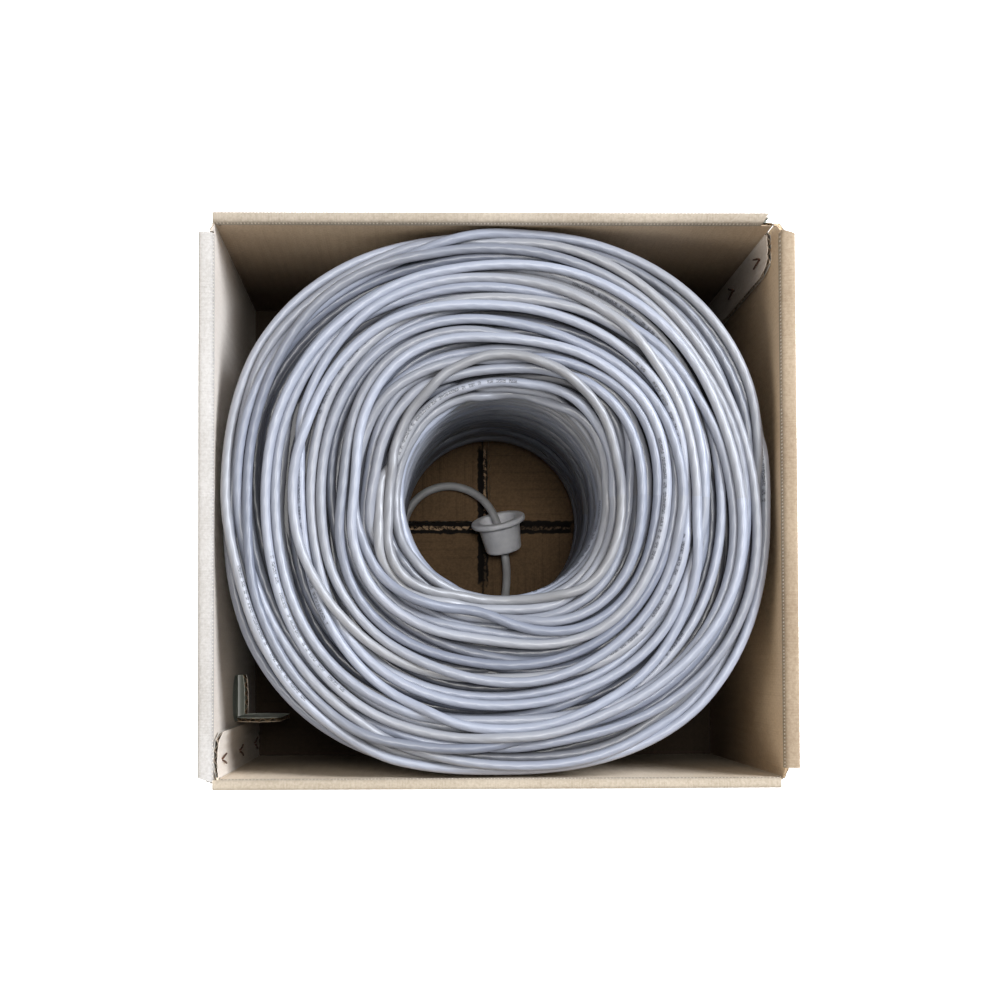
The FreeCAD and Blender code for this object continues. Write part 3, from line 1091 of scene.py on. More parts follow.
    # -- top flaps and their folds
    def top_flaps(self) -> None:
        """Four hanging flaps, each with the soft fold that joins it to its wall."""
        for name, joint, heading, rim in (
            ("back", "back_flap_fold", 90.0, self.inner_rim),
            ("front", "front_flap_fold", -90.0, self.inner_rim),
            ("right", "right_flap_fold", 0.0, self.outer_rim),
            ("left", "left_flap_fold", 180.0, self.outer_rim),
        ):
            self.top_flap(name, self.joints[joint]["pos_m"], math.radians(heading), rim)

    def top_flap(self, name: str, axis: list[float], heading: float, rim: float) -> None:
        """One flap and its fold. A half-round notch in its free edge is part of the payout hole.

        Args:
            name: the flap's side.
            axis: a point on its fold axis.
            heading: the direction outwards, from +X.
            rim: its wall's height.
        """
        node, body = "top_flap_" + name, name + "_flap"
        out = np.array([math.cos(heading), math.sin(heading)])
        side = np.array([-out[1], out[0]])
        low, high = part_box(node)
        reach = abs(float(np.dot(out, axis[:2])))
        ends = sorted(float(np.dot(side, (p.x, p.y))) for p in (low, high))
        thick = self.board.thickness
        top = axis[2]
        span = [x * MM for x in self.spans[name]]
        across = self.board.stations(max(ends[0], span[0]), min(ends[1], span[1]))
        start = top - (rim - self.lap)
        length = top - low.z
        inside = np.clip(self.notch ** 2 - across ** 2, 0, None)
        far = np.where(inside > 0, length - np.sqrt(inside), length)

        def hang(a: np.ndarray, b: np.ndarray, c: np.ndarray) -> np.ndarray:
            """Across at a, down from the axis by b, and in from the outer face by c; the free
            edge stands a little away from the wall and waves by a slow sine."""
            share = np.clip((b - start) / (length - start), 0, 1)
            wave = 0.1 * MM * share * np.sin(a * 21.0 + 2.0)
            away = reach + thick / 2 - c + wave
            return np.concatenate([
                away[..., None] * out + a[..., None] * side, (top - b)[..., None]], -1)

        layers = self.board.layers(hang, across, np.full_like(across, start), far, even(9))
        settle(make_piece(node + "_board", layers, self.flap_papers), body, "board", node)
        self.fold_strip(name, body, axis, out, side, rim, reach)

    def fold_skins(self, foot: float, spring: float, slope: float) -> Skins:
        """The section of a soft fold.

        Its outer skin runs up the wall's inside face, over a flat-topped arc, a superellipse of
        exponent 3.4, and down the flap's outer face; its inner skin is a narrow U between the two.

        Args:
            foot: the height of both its feet.
            spring: the height where its arc starts on the wall's side.
            slope: how much higher the flap's side is.
        Returns:
            The two skins.
        """
        thick, power = self.board.thickness, 2 / 3.4
        arc = np.linspace(0, np.pi, 17)
        cos, sin = np.cos(arc), np.sin(arc)
        climb = np.linspace(foot, spring, 3)[:-1]
        legs = np.full(2, 1.0)
        outer_x = np.concatenate([-legs, -np.sign(cos) * np.abs(cos) ** power, legs])
        inner_x = np.concatenate([-legs, -cos, legs])
        outer_arc = spring + self.crease_depth * np.abs(sin) ** power
        inner_arc = spring + (self.crease_depth - thick * 0.8) * sin ** 0.8
        outer_z, inner_z = (
            np.concatenate([climb, tall, climb[::-1]]) + slope * np.clip((x + 1) / 2, 0, 1)
            for tall, x in ((outer_arc, outer_x), (inner_arc, inner_x)))
        edge = np.exp(-((np.abs(outer_x) - 0.88) / 0.12) ** 2) * (outer_z > spring + 0.8 * MM)
        top = np.concatenate([0 * legs, sin, 0 * legs])
        return Skins(outer_x, outer_z, inner_x, inner_z, edge, top)

    def fold_strip(self, name: str, body: str, axis: list[float], out: np.ndarray,
                   side: np.ndarray, rim: float, reach: float) -> None:
        """The soft fold over a wall's top edge.

        Ripples at a third of a flute stand along both edges of its top, and it rises and falls by
        a slow sine.

        Args:
            name: the flap's side.
            body: the flap's body.
            axis: a point on its fold axis.
            out, side: the directions outwards and along the wall.
            rim: the wall's height.
            reach: from the middle to the fold axis.
        """
        thick, pitch = self.board.thickness, self.board.flute_pitch
        wall_face = abs(self.right if abs(out[0]) > 0.5 else self.back)
        flap_face = reach + thick / 2
        middle, half = (wall_face + flap_face) / 2, (flap_face - wall_face) / 2
        foot = rim - self.lap - self.strip_overlap
        slope = axis[2] - rim
        spring = axis[2] + 0.2 * MM - self.crease_depth - slope
        inner_half = max(half - thick, 0.05 * MM)
        skins = self.fold_skins(foot, spring, slope)
        first_end, last_end = (x * MM for x in self.spans[name])
        first_slant, last_slant = self.slants[name]
        phase = float(out[0] * 2 + out[1])

        def bend(a: np.ndarray, b: np.ndarray, c: np.ndarray) -> np.ndarray:
            """a along the wall, slanted at its ends; b is the share along the two skins and c the
            place between them."""
            share = c / thick
            far_out = middle + half * skins.at(skins.outer_x, b)
            far_in = middle + inner_half * skins.at(skins.inner_x, b)
            tall_out, tall_in = skins.at(skins.outer_z, b), skins.at(skins.inner_z, b)
            inner = (1 - skins.at(skins.outer_x, b)) / 2
            first = np.clip((first_end - a) / (9 * MM) + 1, 0, 1) * first_slant
            last = np.clip((a - last_end) / (9 * MM) + 1, 0, 1) * last_slant
            a = a + inner * (first + last) * MM
            ripple = 0.5 + 0.5 * np.cos(6 * np.pi * a / pitch)
            ripple = 0.42 * MM * (skins.at(skins.edge, b) * ripple)
            slow = 0.25 * MM * np.sin(a * 34.0 + phase) * skins.at(skins.top, b)
            away = far_out + (far_in - far_out) * share
            tall = tall_out + (tall_in - tall_out) * share + (ripple + slow) * (1 - share)
            return np.concatenate([
                away[..., None] * out + a[..., None] * side, tall[..., None]], -1)

        finer = Board(thick, samples=12)
        across = finer.stations(first_end, last_end)
        zero = np.zeros_like(across)
        layers = finer.layers(bend, across, zero, zero + 1.0, skins.steps)
        layers[0].chart[:, 1] *= self.board.chart_step
        strip = make_piece("top_fold_" + name, layers, [self.crests[name], *self.papers], 60.0)
        start = list(out * (wall_face + thick * 0.9)) + [axis[2]]
        end = list(out * (flap_face - thick * 0.9)) + [axis[2]]
        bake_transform(strip)
        log.info("%s bends from carton to %s", strip.name, body)

    # -- bottom flaps
    def bottom_flaps(self) -> None:
        """The pinwheel of four interlocked flaps, each over one neighbour and under the other."""
        half_x, half_y = self.right, self.back
        for quarter, (name, half_side, reach, free, aside) in enumerate((
            ("back", half_x, half_y, 6.6, 0.0), ("left", half_y, half_x, 4.4, 3.1),
            ("front", half_x, half_y, 0.4, 0.0), ("right", half_y, half_x, 4.4, -3.1),
        )):
            turn = quarter * math.pi / 2
            self.bottom_flap(name, half_side, reach, turn, free * MM, aside * MM)

    def bottom_flap(self, name: str, half_side: float, reach: float, turn: float, free: float,
                    aside: float) -> None:
        """A flap built as the back one and turned.

        Args:
            name: its side.
            half_side: half its width.
            reach: from the middle to its wall.
            turn: its turn from the back.
            free: from the middle to its free edge.
            aside: how far off the middle it steps down by a board.
        """
        thick, gap = self.board.thickness, self.step_gap
        cos, sin = math.cos(turn), math.sin(turn)
        steps = tuple(aside + gap * x for x in (-1.0, -0.5, 0.0, 0.5, 1.0))
        across = self.board.stations(-half_side + 0.2 * MM, half_side - 0.2 * MM, steps)

        def lie(a: np.ndarray, b: np.ndarray, c: np.ndarray) -> np.ndarray:
            """a sideways, b in from the wall, and c down from the top face, on a level that eases
            from the upper to the lower by a smooth step over the gap."""
            share = np.clip((a - aside + gap) / (2 * gap), 0, 1)
            level = 2 * thick - thick * share ** 2 * (3 - 2 * share)
            y = reach - b
            return np.stack([a * cos - y * sin, a * sin + y * cos, level - c], -1)

        edge = 0.5 * MM * np.sin(across * 95.0 + turn * 3)
        layers = self.board.layers(lie, across, np.zeros_like(across),
                                   reach - free + edge, even(6))
        piece = make_piece("bottom_flap_" + name + "_board", layers, self.floor_papers)
        settle(piece, "carton", "board", "bottom_flap_" + name)

    # -- hand hole
    def hand_flap(self) -> None:
        """The pushed-in flap of the hand hole, with its flutes upright and its ends rounded."""
        low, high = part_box("hand_hole_flap")
        width = high.x - low.x
        radius = width / 2
        rise = (high.z - low.z) / 2 - radius
        centre = (high.z + low.z) / 2
        across = np.unique(np.concatenate([
            self.board.stations(0.0, width), radius * (1 - np.cos(np.linspace(0, np.pi, 31)))]))
        half = rise + np.sqrt(np.clip(radius ** 2 - (across - radius) ** 2, 0, None))

        def swing(a: np.ndarray, b: np.ndarray, c: np.ndarray) -> np.ndarray:
            """a out from the fold, b up, c from the kraft face to the white one."""
            return np.stack([low.x + a, low.y + c, b], -1)

        layers = self.board.layers(swing, across, centre - half, centre + half, even(12))
        settle(make_piece("hand_hole_flap_board", layers, self.flap_papers), "hand_flap", "board",
               "hand_hole_flap")


# ---- wound cable ---------------------------------------------------------------------------------
@dataclass
class Winding:
    """The wound coil: loose round turns in layers, packed until they barely press together.

    Sizes are in millimetres. A layer is its depth under the skin, its spacing in diameters, the
    shares of the section where it starts and stops, and how strongly its turns wander. Touch is
    how near turns may come in diameters; give, climb, homesick and smooth are the shares of an
    overlap that is undone in a round, of it that goes up or down, of the way home and of the
    smoothing round the coil. Core_turn is the core's turn number, past the last layer's. Stray
    and wander are the sizes of the shared and the separate waves, the separate ones by waves
    round the coil. Calm scales them, and lift is how far turns may rise from the skin, each by
    the share of the section.
    """

    jacket: bpy.types.Material
    diameter: float = 5.2
    slices: int = 180
    sides: int = 12
    group: int = 42
    reach_turns: int = 15
    rounds: int = 120
    touch: float = 0.985
    give: float = 0.26
    climb: float = 0.8
    homesick: float = 0.03
    smooth: float = 0.22
    eye_radius: float = 55.0
    eye_centre: tuple[float, float] = (4.5, 4.0)
    diagonal_bulge: float = 9.0
    inner_round: float = 21.0
    outer_round: float = 9.0
    stretch: float = 1.01
    core_depth: float = 12.6
    core_steps: int = 260
    # Past the last layer, so the jacket paints the core in its darkest shade.
    core_turn: float = 2.8
    stray: float = 1.7
    stray_rates: tuple[float, float] = (0.03, 0.11)
    wander: tuple[float, ...] = (4.2, 3.2, 1.9, 0.9, 0.4)
    calm: tuple[tuple[float, ...], ...] = (
        (0, 0.30, 0.40, 0.60, 0.68, 1), (0.45, 0.6, 1.0, 1.0, 0.6, 0.35))
    lift: tuple[tuple[float, ...], ...] = (
        (0, 0.36, 0.43, 0.56, 0.61, 1), (1.6, 2.2, 4.6, 4.6, 2.0, 0.1))
    layers: tuple[tuple[float, float, float, float, float], ...] = (
        (0.0, 1.14, 0.0, 1.0, 1.0),
        (4.8, 1.30, 0.06, 0.94, 0.6),
        (9.2, 1.30, 0.22, 0.76, 0.35),
    )
    seed: int = 11

    def __post_init__(self) -> None:
        """Reads the coil's box and works out its outline, in millimetres."""
        low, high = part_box("cable_coil")
        self.low, self.high = low.z / MM, high.z / MM
        self.half = min(high.x, high.y) / MM
        diagonal = (self.half + self.diagonal_bulge) / math.sqrt(2)
        self.power = math.log(2) / math.log(self.half / diagonal)
        self.random = np.random.default_rng(self.seed)
        self.angle = np.linspace(0, 2 * np.pi, self.slices, endpoint=False)
        cos, sin = np.abs(np.cos(self.angle)), np.abs(np.sin(self.angle))
        self.outline = self.half / (cos ** self.power + sin ** self.power) ** (1 / self.power)
        self.width = self.outline - self.eye_radius

    def lengths(self, inset: np.ndarray, width: np.ndarray) -> list[np.ndarray]:
        """Lengths of the section's five stretches at an inset: up the eye's wall, round its top,
        across the top, round the outer top and down the outside."""
        ri, ro = self.inner_round, self.outer_round
        up = self.high - ri - (self.low + inset)
        down = self.high - ro - (self.low + inset)
        return [up + 0 * width, (ri - inset) * np.pi / 2 + 0 * width, width - ri - ro + 0 * inset,
                (ro - inset) * np.pi / 2 + 0 * width, down + 0 * width]

    def section(self, share: np.ndarray, inset: np.ndarray,
                width: np.ndarray) -> tuple[np.ndarray, np.ndarray]:
        """Points on the section's outline and outward normals.

        Args:
            share: 0 at the foot of the eye's wall to 1 at the foot of the outside.
            inset: depth under the coil's skin.
            width: the coil's width there.
        Returns:
            Points and normals: distance out from the eye and height.
        """
        one, two, three, four, five = self.lengths(inset, width)
        s = share * (one + two + three + four + five)
        ri, ro = self.inner_round - inset, self.outer_round - inset
        climb = np.minimum(s, one)
        f = np.clip((s - one) / ri, 0, np.pi / 2)
        run = np.clip(s - one - two, 0, three)
        g = np.clip((s - one - two - three) / ro, 0, np.pi / 2)
        drop = np.clip(s - one - two - three - four, 0, None)
        x = inset + ri * (1 - np.cos(f)) + run + ro * np.sin(g)
        z = self.low + inset + climb + ri * np.sin(f) - ro * (1 - np.cos(g)) - drop
        h = f + g
        return np.stack([x, z], -1), np.stack([-np.cos(h), np.sin(h)], -1)

    def waves(self, count: int, strengths: tuple[float, ...]) -> np.ndarray:
        """Slow random waves round the coil: a sum of cosines, one row of slices per turn."""
        total = np.zeros((self.slices, count))
        for k, strength in enumerate(strengths, 1):
            phase = self.random.uniform(0, 2 * np.pi, count)
            size = self.random.normal(0, strength, count)
            total += size * np.cos(k * self.angle[:, None] + phase)
        return total

    def drift(self, homes: np.ndarray) -> np.ndarray:
        """A shared sideways drift, so that turns wound together stray together: products of slow
        waves round the coil and slow waves across the section."""
        total = np.zeros((self.slices, len(homes)))
        for k in (1, 2, 3, 4):
            for _ in range(3):
                size = self.random.normal(0, self.stray / k ** 0.7)
                phase = self.random.uniform(0, 6.28)
                rate, shift = self.random.uniform(*self.stray_rates), self.random.uniform(0, 6.28)
                total += size * np.cos(k * self.angle[:, None] + phase) * np.cos(
                    rate * homes + shift)
        return total

    def lay(self) -> tuple[np.ndarray, ...]:
        """Every turn's share across the section, depth under the skin, strength of its wander, rank
        and layer. Turns of higher rank ride over those of lower rank where they cross."""
        d, mean = self.diameter, float(self.width.mean())
        rows = []
        for number, (depth, spacing, first, last, wander) in enumerate(self.layers):
            inset = d / 2 + depth
            length = sum(float(x) for x in self.lengths(np.array(inset), np.array(mean)))
            start, stop = max(first * length, d * 0.2), min(last * length, length - d * 0.2)
            count = int((stop - start) / (d * spacing))
            place = np.linspace(start, stop, count) + self.random.normal(0, 0.8, count)
            rank = self.random.uniform(-1, 1, count) - 2 * number
            layer = np.full(count, float(number))
            rows.append(np.stack([
                place / length, 0 * place + inset, 0 * place + wander, rank, layer]))
        rows = np.concatenate(rows, 1)
        return tuple(rows[:, np.argsort(rows[0])])

    def pack(self) -> tuple[np.ndarray, np.ndarray, np.ndarray]:
        """Places every turn at every slice.

        Turns start in layers with their waves. Then pairs that overlap push apart, sideways and a
        little up or down by rank; each turn is pulled weakly home and smoothed round the coil, and
        none may leave the coil's skin by more than its limit.

        Returns:
            Distance out from the eye and height, slices by turns by two, each turn's share and
            its layer.
        """
        d = self.diameter
        width = self.width[:, None]
        share, inset, wander, rank, layer = self.lay()
        count = len(share)
        total = sum(self.lengths(inset[None], width))
        homes = share * float(total.mean())
        calm = np.interp(share, *self.calm)
        own = self.waves(count, self.wander) * wander
        moved = np.clip(share + (own + self.drift(homes)) * calm / total, 0.002, 0.998)
        home, normal = self.section(moved, inset[None] + 0 * width, width + 0 * inset[None])
        lift = np.interp(moved, *self.lift)
        home, normal, lift = (x.astype(np.float32) for x in (home, normal, lift))
        depth = (inset - d / 2).astype(np.float32)
        spot = home.copy()
        limit = (width - d / 2).astype(np.float32)
        for _ in range(self.rounds):
            push = np.zeros_like(spot)
            for k in range(1, self.reach_turns + 1):
                gap = spot[:, k:] - spot[:, :-k]
                far = np.sqrt(gap[..., 0] ** 2 + gap[..., 1] ** 2) + 1e-3
                over = np.clip(d * self.touch - far, 0, None)
                sign = np.sign(rank[k:] - rank[:-k]).astype(np.float32)
                way = gap / far[..., None] + (self.climb * sign)[None, :, None] * normal[:, k:]
                step = way * (over * self.give)[..., None]
                push[:, k:] += step
                push[:, :-k] -= step
            spot = spot + push + (home - spot) * self.homesick
            spot = spot + self.smooth * (np.roll(spot, 1, 0) + np.roll(spot, -1, 0) - 2 * spot)
            out = np.einsum("ijk,ijk->ij", spot - home, normal) - depth
            spot = spot - normal * np.clip(out - lift, 0, None)[..., None]
            spot[..., 1] = np.maximum(spot[..., 1], self.low + d / 2)
            spot[..., 0] = np.minimum(spot[..., 0], limit)
        return spot.astype(float), share, layer

    def stand(self, spot: np.ndarray) -> np.ndarray:
        """Section places carried round the coil, in metres: slices by turns by three.

        The distance out blends from the eye's offset circle to the coil's rounded-square outline.
        """
        out = spot[..., 0] / self.width[:, None]
        radius = self.eye_radius * (1 - out) + self.outline[:, None] * out
        cos, sin = np.cos(self.angle)[:, None], np.sin(self.angle)[:, None]
        wide = 1 + (self.stretch - 1) * out
        x = self.eye_centre[0] * (1 - out) + radius * cos * wide
        y = self.eye_centre[1] * (1 - out) + radius * sin
        return np.stack([x, y, spot[..., 1]], -1) * MM

    def build(self) -> None:
        """Packs the turns, and makes them and the core of turns behind them, painted dark as shade.
        """
        spot, share, layer = self.pack()
        lines = self.stand(spot).transpose(1, 0, 2)
        # The whole part of each turn number is its layer, which the jacket paints darker as shade.
        tone = self.random.uniform(0, 0.99, len(share)) + layer
        for number, start in enumerate(range(0, len(share), self.group)):
            chosen = slice(start, start + self.group)
            part = tubes(lines[chosen], self.diameter / 2 * MM, self.sides, tone[chosen])
            piece = make_piece(f"coil_turns_{number + 1}", [part], [self.jacket])
            stands_for = ["cable_coil"] if number == 2 else []
            settle(piece, "coil", "cable_jacket", *stands_for)
        self.core()

    def core(self) -> None:
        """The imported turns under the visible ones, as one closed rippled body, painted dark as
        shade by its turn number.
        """
        inset = np.full((self.slices, self.core_steps), self.core_depth)
        width = self.width[:, None] + 0 * inset
        share = even(self.core_steps)[None] + 0 * inset
        ripple = 0.9 * np.cos(share * 2 * np.pi * 80)
        point, normal = self.section(share, inset, width)
        points = self.stand(point + normal * ripple[..., None])
        faces = grid_faces(self.slices, self.core_steps, True, True)
        chart = np.stack([np.broadcast_to(self.angle[:, None] * 0.1, inset.shape), share], -1)
        body = Surface(points.reshape(-1, 3), faces, chart.reshape(-1, 2), 0,
                       np.full(inset.size, self.core_turn)).outward()
        settle(make_piece("coil_core", [body], [self.jacket]), "coil", "cable_jacket")


# ---- inner end and bushing -----------------------------------------------------------------------
@dataclass
class InnerEnd:
    """The cable's free inner end on the floor of the eye, and its four cut pairs.

    Showing is how far the pairs stand out of the jacket, spread how far each lies from its middle,
    and bared how many of a core's points are bare copper.
    """

    jacket: bpy.types.Material
    insulation: dict[str, bpy.types.Material]
    striped: bpy.types.Material
    copper: bpy.types.Material
    diameter: float = 5.2 * MM
    length: float = 152 * MM
    showing: float = 4.0 * MM
    spread: float = 1.35 * MM
    twist_pitch: float = 5 * MM
    twist_radius: float = 0.475 * MM
    insulation_radius: float = 0.47 * MM
    copper_radius: float = 0.26 * MM
    bared: int = 3
    route: tuple[Point, ...] = (
        (-0.0521, -0.0134, 0.0103),
        (-0.0526, 0.0016, 0.0094),
        (-0.0477, 0.0168, 0.0088),
        (-0.0358, 0.0275, 0.0086),
        (-0.0191, 0.0305, 0.0091),
        (-0.0029, 0.0239, 0.0116),
        (0.00814, 0.0097, 0.0162),
        (0.01474, -0.0195, 0.0162),
        (0.0152, -0.0340, 0.0110),
        (0.0139, -0.0450, 0.0090),
    )

    def build(self, bushing: bpy.types.Object) -> None:
        curve = bpy.data.curves.new("cable_lead_curve", "CURVE")
        curve.dimensions = "3D"
        spline = curve.splines.new("NURBS")
        spline.points.add(len(self.route) - 1)
        for point, place in zip(spline.points, self.route):
            point.co = (*place, 1.0)
        spline.order_u = 3
        spline.use_endpoint_u = True
        spline.resolution_u = 12
        curve.bevel_depth = self.diameter / 2
        curve.bevel_resolution = 6
        curve.use_fill_caps = True
        curve.materials.append(self.jacket)
        lead = bpy.data.objects.new("cable_lead_free", curve)
        bpy.context.scene.collection.objects.link(lead)
        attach(lead, "coil")
        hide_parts("cable_lead")
        pairs = self.pairs()

    def pairs(self) -> list[bpy.types.Object]:
        """Four twisted pairs of insulated cores with bright cut copper ends.

        Each core is a helix about its pair's line: the line plus the pair radius times the cosine
        and sine of the twist angle.
        """
        end = np.array(self.route[-1])
        ahead = end - np.array(self.route[-2])
        ahead /= np.linalg.norm(ahead)
        side, up = square_to(ahead)
        made = []
        run = np.linspace(-0.6 * MM, self.showing, 24)
        for number, (name, insulation) in enumerate(self.insulation.items()):
            angle = math.pi / 4 + number * math.pi / 2
            centre = end + (side * math.cos(angle) + up * math.sin(angle)) * self.spread
            lines = []
            for phase in (0.0, math.pi):
                twist = run / self.twist_pitch * 2 * np.pi + phase + number
                swing = side * np.cos(twist)[:, None] + up * np.sin(twist)[:, None]
                lines.append(centre + run[:, None] * ahead + swing * self.twist_radius)
            parts = []
            for finish, line in enumerate(lines):
                for core, radius, sides, kind in (
                    (line[:-self.bared], self.insulation_radius, 12, finish),
                    (line, self.copper_radius, 8, 2),
                ):
                    parts.append(tubes(core[None], radius, sides, np.zeros(1), False, kind))
                    parts.append(self.end_disc(core, radius, kind))
            piece = make_piece(name + "_pair_twisted", parts,
                               [insulation, self.striped, self.copper])
            made.append(settle(piece, "coil", name + "_insulation", name + "_pair"))
        return made

    def end_disc(self, line: np.ndarray, radius: float, kind: int) -> Surface:
        """The flat end of a core's insulation or copper, a disc that faces along the core."""
        ahead = (line[-1] - line[-2]) / np.linalg.norm(line[-1] - line[-2])
        side, top = square_to(ahead)
        angle = np.linspace(0, 2 * np.pi, 12, endpoint=False)[:, None]
        rim = line[-1] + (side * np.cos(angle) + top * np.sin(angle)) * radius
        inner = line[-1] + (rim - line[-1]) * 0.02
        faces = grid_faces(2, 12, False, True)
        return Surface(np.concatenate([inner, rim]), faces, np.zeros((24, 2)), kind)


@dataclass
class Bushing:
    """The flanged payout bushing, a hollow cup with a rounded hole in its narrow end.

    Sizes are in millimetres and its heading in degrees.
    """

    plastic: bpy.types.Material
    flange: float = 17.5
    flange_thick: float = 3.6
    body: float = 13.5
    narrow: float = 11.35
    length: float = 21.5
    wall: float = 1.8
    hole: float = 4.0
    place: tuple[float, float] = (13.2, -12.7)
    heading: float = 102.7
    facets: int = 120

    def profile(self) -> np.ndarray:
        """Radius and height round the wall's section, with every corner rounded by three points."""
        shoulder = self.length - self.flange_thick
        corners = np.array([
            (self.hole, 0), (self.narrow, 0), (self.body, shoulder), (self.flange, shoulder),
            (self.flange, self.length), (self.body - self.wall, self.length),
            (self.narrow - self.wall, self.wall), (self.hole, self.wall),
        ])
        rounds = np.array([0.5, 1.6, 0.6, 1.75, 1.75, 1.6, 1.2, 0.5])
        before = np.roll(corners, 1, 0) - corners
        after = np.roll(corners, -1, 0) - corners
        before /= np.linalg.norm(before, axis=1, keepdims=True)
        after /= np.linalg.norm(after, axis=1, keepdims=True)
        t = np.linspace(0, 1, 6)[None, :, None]
        a = (corners + before * rounds[:, None])[:, None]
        c = (corners + after * rounds[:, None])[:, None]
        b = corners[:, None]
        return (a * (1 - t) ** 2 + 2 * b * t * (1 - t) + c * t ** 2).reshape(-1, 2)

    def build(self) -> bpy.types.Object:
        """Spins the profile about the bushing's axis and lays it down on its side."""
        profile = self.profile()
        angle = np.linspace(0, 2 * np.pi, self.facets, endpoint=False)[:, None]
        radius, height = profile[None, :, 0], profile[None, :, 1]
        points = np.stack(np.broadcast_arrays(
            radius * np.cos(angle), radius * np.sin(angle), height), -1)
        tilt = math.atan2(self.flange - self.narrow, self.length - self.flange_thick)
        lean = math.pi / 2 - tilt
        turn = math.radians(self.heading)
        about_y = np.array([[math.cos(lean), 0, math.sin(lean)], [0, 1, 0],
                            [-math.sin(lean), 0, math.cos(lean)]])
        about_z = np.array([[math.cos(turn), -math.sin(turn), 0],
                            [math.sin(turn), math.cos(turn), 0], [0, 0, 1]])
        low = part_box("payout_bushing")[0].z / MM
        rest = low + self.narrow * math.cos(tilt)
        placed = points.reshape(-1, 3) @ (about_z @ about_y).T + [*self.place, rest]
        faces = grid_faces(self.facets, len(profile), True, True)
        chart = np.stack(np.broadcast_arrays(angle / 6.3, height / self.length), -1)
        cup = Surface(placed * MM, faces, chart.reshape(-1, 2)).outward()
        piece = make_piece("payout_bushing_cup", [cup], [self.plastic], 50.0)
        return settle(piece, "bushing", "bushing_plastic", "payout_bushing")


# ---- studio --------------------------------------------------------------------------------------
@dataclass(frozen=True)
class Lamp:
    """A square soft light that faces a point."""

    name: str
    place: Point
    aim: Point
    size: float
    power: float
    tint: Point

    def build(self) -> None:
        """Adds the light to the scene."""
        light = bpy.data.lights.new(self.name, "AREA")
        light.size, light.energy, light.color = self.size, self.power, self.tint
        lamp = bpy.data.objects.new(self.name, light)
        lamp.location = self.place
        way = Vector(self.aim) - Vector(self.place)
        lamp.rotation_euler = way.to_track_quat("-Z", "Y").to_euler()
        bpy.context.scene.collection.objects.link(lamp)


@dataclass
class Studio:
    """Pale floor, soft lights and the camera above the open box.

    The lights are a broad one from the right, a soft one opposite and a small one overhead.
    """

    camera_place: Point = (-0.04083, -0.08450, 0.99170)
    camera_turn: Point = (0.02976, -0.01764, -0.00303)
    lens: float = 54.606
    shift: tuple[float, float] = (0.0527, 0.1167)
    floor_half: float = 6.0
    floor_drop: float = 0.4 * MM
    surround: Colour = (1.0, 0.99, 0.98, 1.0)
    surround_strength: float = 0.28
    lamps: tuple[Lamp, ...] = (
        Lamp("key", (1.25, 0.72, 1.42), (0.0, 0.0, 0.2), 0.9, 45.0, (0.92, 0.97, 1.06)),
        Lamp("fill", (-1.2, -0.8, 1.1), (0.0, 0.0, 0.2), 1.0, 7.0, (1.04, 0.99, 0.92)),
        Lamp("overhead", (0.1, 0.15, 2.3), (0.0, 0.0, 0.1), 0.5, 17.5, (1.0, 0.98, 0.95)),
    )

    def build(self) -> None:
        """Makes the floor, lights, world and camera."""
        self.floor()
        self.lights()
        self.camera()

    def floor(self) -> None:
        """A wide level floor at the carton's underside."""
        corners = np.array([[-1, -1, 0], [1, -1, 0], [1, 1, 0], [-1, 1, 0]]) * self.floor_half
        corners -= [0, 0, self.floor_drop]
        part = Surface(corners, np.array([[0, 1, 2, 3]]), np.zeros((4, 2)))
        make_piece("floor", [part], [FloorFinish().build()])

    def lights(self) -> None:
        """The lamps and an even surround."""
        for lamp in self.lamps:
            lamp.build()
        world = bpy.data.worlds.new("surround")
        bpy.context.scene.world = world
        world.use_nodes = True
        shade = world.node_tree.nodes["Background"]
        shade.inputs["Color"].default_value = self.surround
        shade.inputs["Strength"].default_value = self.surround_strength
        bpy.context.scene.view_settings.view_transform = "Standard"

    def camera(self) -> None:
        """The camera, nearly straight above with its frame shifted, so the rim stays square."""
        data = bpy.data.cameras.new("camera")
        data.lens = self.lens
        data.sensor_width = 36.0
        data.shift_x, data.shift_y = self.shift
        camera = bpy.data.objects.new("camera", data)
        camera.location = self.camera_place
        camera.rotation_euler = self.camera_turn
        bpy.context.scene.collection.objects.link(camera)
        bpy.context.scene.camera = camera


def make_inner_end() -> InnerEnd:
    """The cable's inner end with its jacket, insulation and copper."""
    wires = {
        name: PlasticFinish(material, colour(*base), colour(*dull), roughness, 0.0).build()
        for name, material, base, dull, roughness in (
            ("blue", "blue_insulation", (40, 84, 170), (30, 66, 140), 0.3),
            ("orange", "orange_insulation", (232, 128, 40), (206, 104, 28), 0.3),
            ("green", "green_insulation", (44, 140, 66), (30, 112, 50), 0.3),
            ("brown", "brown_insulation", (122, 78, 46), (96, 58, 34), 0.3),
            ("white", "white_insulation", (232, 232, 228), (214, 214, 208), 0.3),
            ("copper", "copper_core", (206, 128, 84), (176, 100, 60), 0.25),
        )
    }
    striped, copper = wires.pop("white"), wires.pop("copper")
    return InnerEnd(LeadFinish().build(), wires, striped, copper)


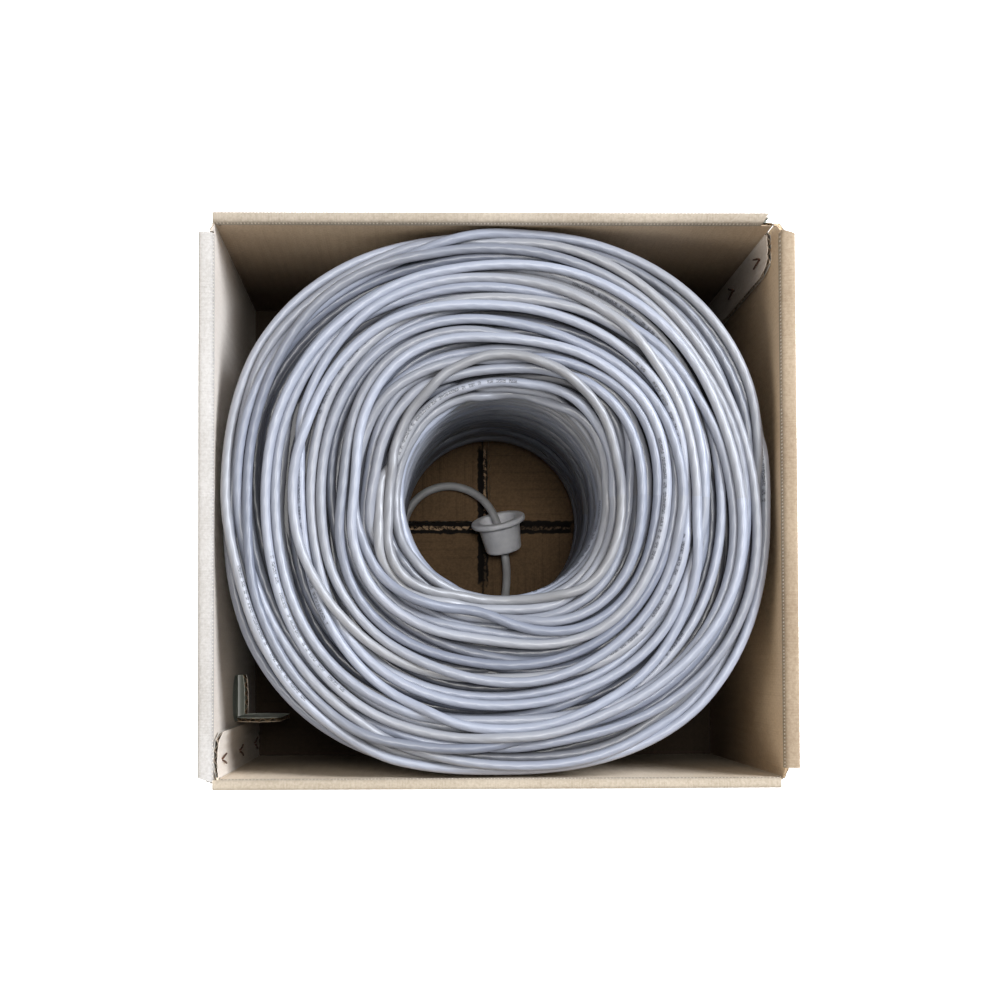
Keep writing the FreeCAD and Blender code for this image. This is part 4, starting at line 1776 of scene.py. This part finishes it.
def make_carton() -> Carton:
    """The carton with its papers. Each wall's inside and fold has its own colour, lighter or darker
    and warmer or cooler as painted light and shade for how much light reaches that side."""
    # Painted light and shade: each wall's inside is a lit or shaded copy of one kraft, darkening
    # towards the floor by its share.
    inside = {
        name: LinerFinish("kraft_inside_" + name, colour(*light), colour(*dark), low_shade_share=low_shade_share).build()
        for name, light, dark, low_shade_share in (
            ("back", (222, 200, 172), (184, 160, 131), 0.85),
            ("front", (252, 236, 214), (222, 202, 174), 0.7),
            ("left", (250, 241, 230), (226, 213, 198), 0.5),
            ("right", (244, 218, 184), (208, 178, 142), 0.8),
        )
    }
    # Painted light and shade: the crests are lit and shaded copies of one kraft, the left palest
    # and the right darkest.
    crests = {
        name: LinerFinish("kraft_crest_" + name, colour(*light), colour(*dark),
                          crest=Crest()).build()
        for name, light, dark in (
            ("back", (200, 188, 171), (156, 142, 124)),
            ("front", (203, 190, 171), (160, 145, 124)),
            ("left", (211, 207, 202), (174, 168, 160)),
            ("right", (190, 171, 147), (148, 127, 103)),
        )
    }
    flap = LinerFinish("kraft_flap", colour(202, 186, 164), colour(160, 142, 118)).build()
    # The floor board is a browner kraft, painted darker than the walls as shade at the bottom of
    # the box.
    floor = LinerFinish("kraft_floor", colour(118, 94, 68), colour(76, 60, 42), line_share=0.14,
                        seam=Seam()).build()
    outer = [LinerFinish("white_outside", colour(186, 190, 180), colour(162, 166, 154)).build(),
             FluteFinish().build()]
    worn = [LinerFinish("white_worn", colour(222, 218, 210), colour(196, 190, 180)).build(),
            FluteFinish("fluting_worn", colour(222, 208, 190), colour(150, 132, 112)).build()]
    return Carton(insides=inside, papers=outer, flap_papers=[flap, *outer],
                  tab_papers=[inside["left"], *worn], floor_papers=[floor, *outer], crests=crests,
                  wire=WireFinish().build())


def main() -> None:
    """Builds the studio and each sub-assembly in order."""
    logging.basicConfig(level=logging.INFO, format="%(message)s")
    Studio().build()
    plastic = PlasticFinish("bushing_plastic", colour(232, 233, 238), colour(210, 212, 218))
    bushing = Bushing(plastic.build()).build()
    make_inner_end().build(bushing)
    make_carton().build()
    Winding(JacketFinish().build()).build()


if __name__ == "__main__":
    main()
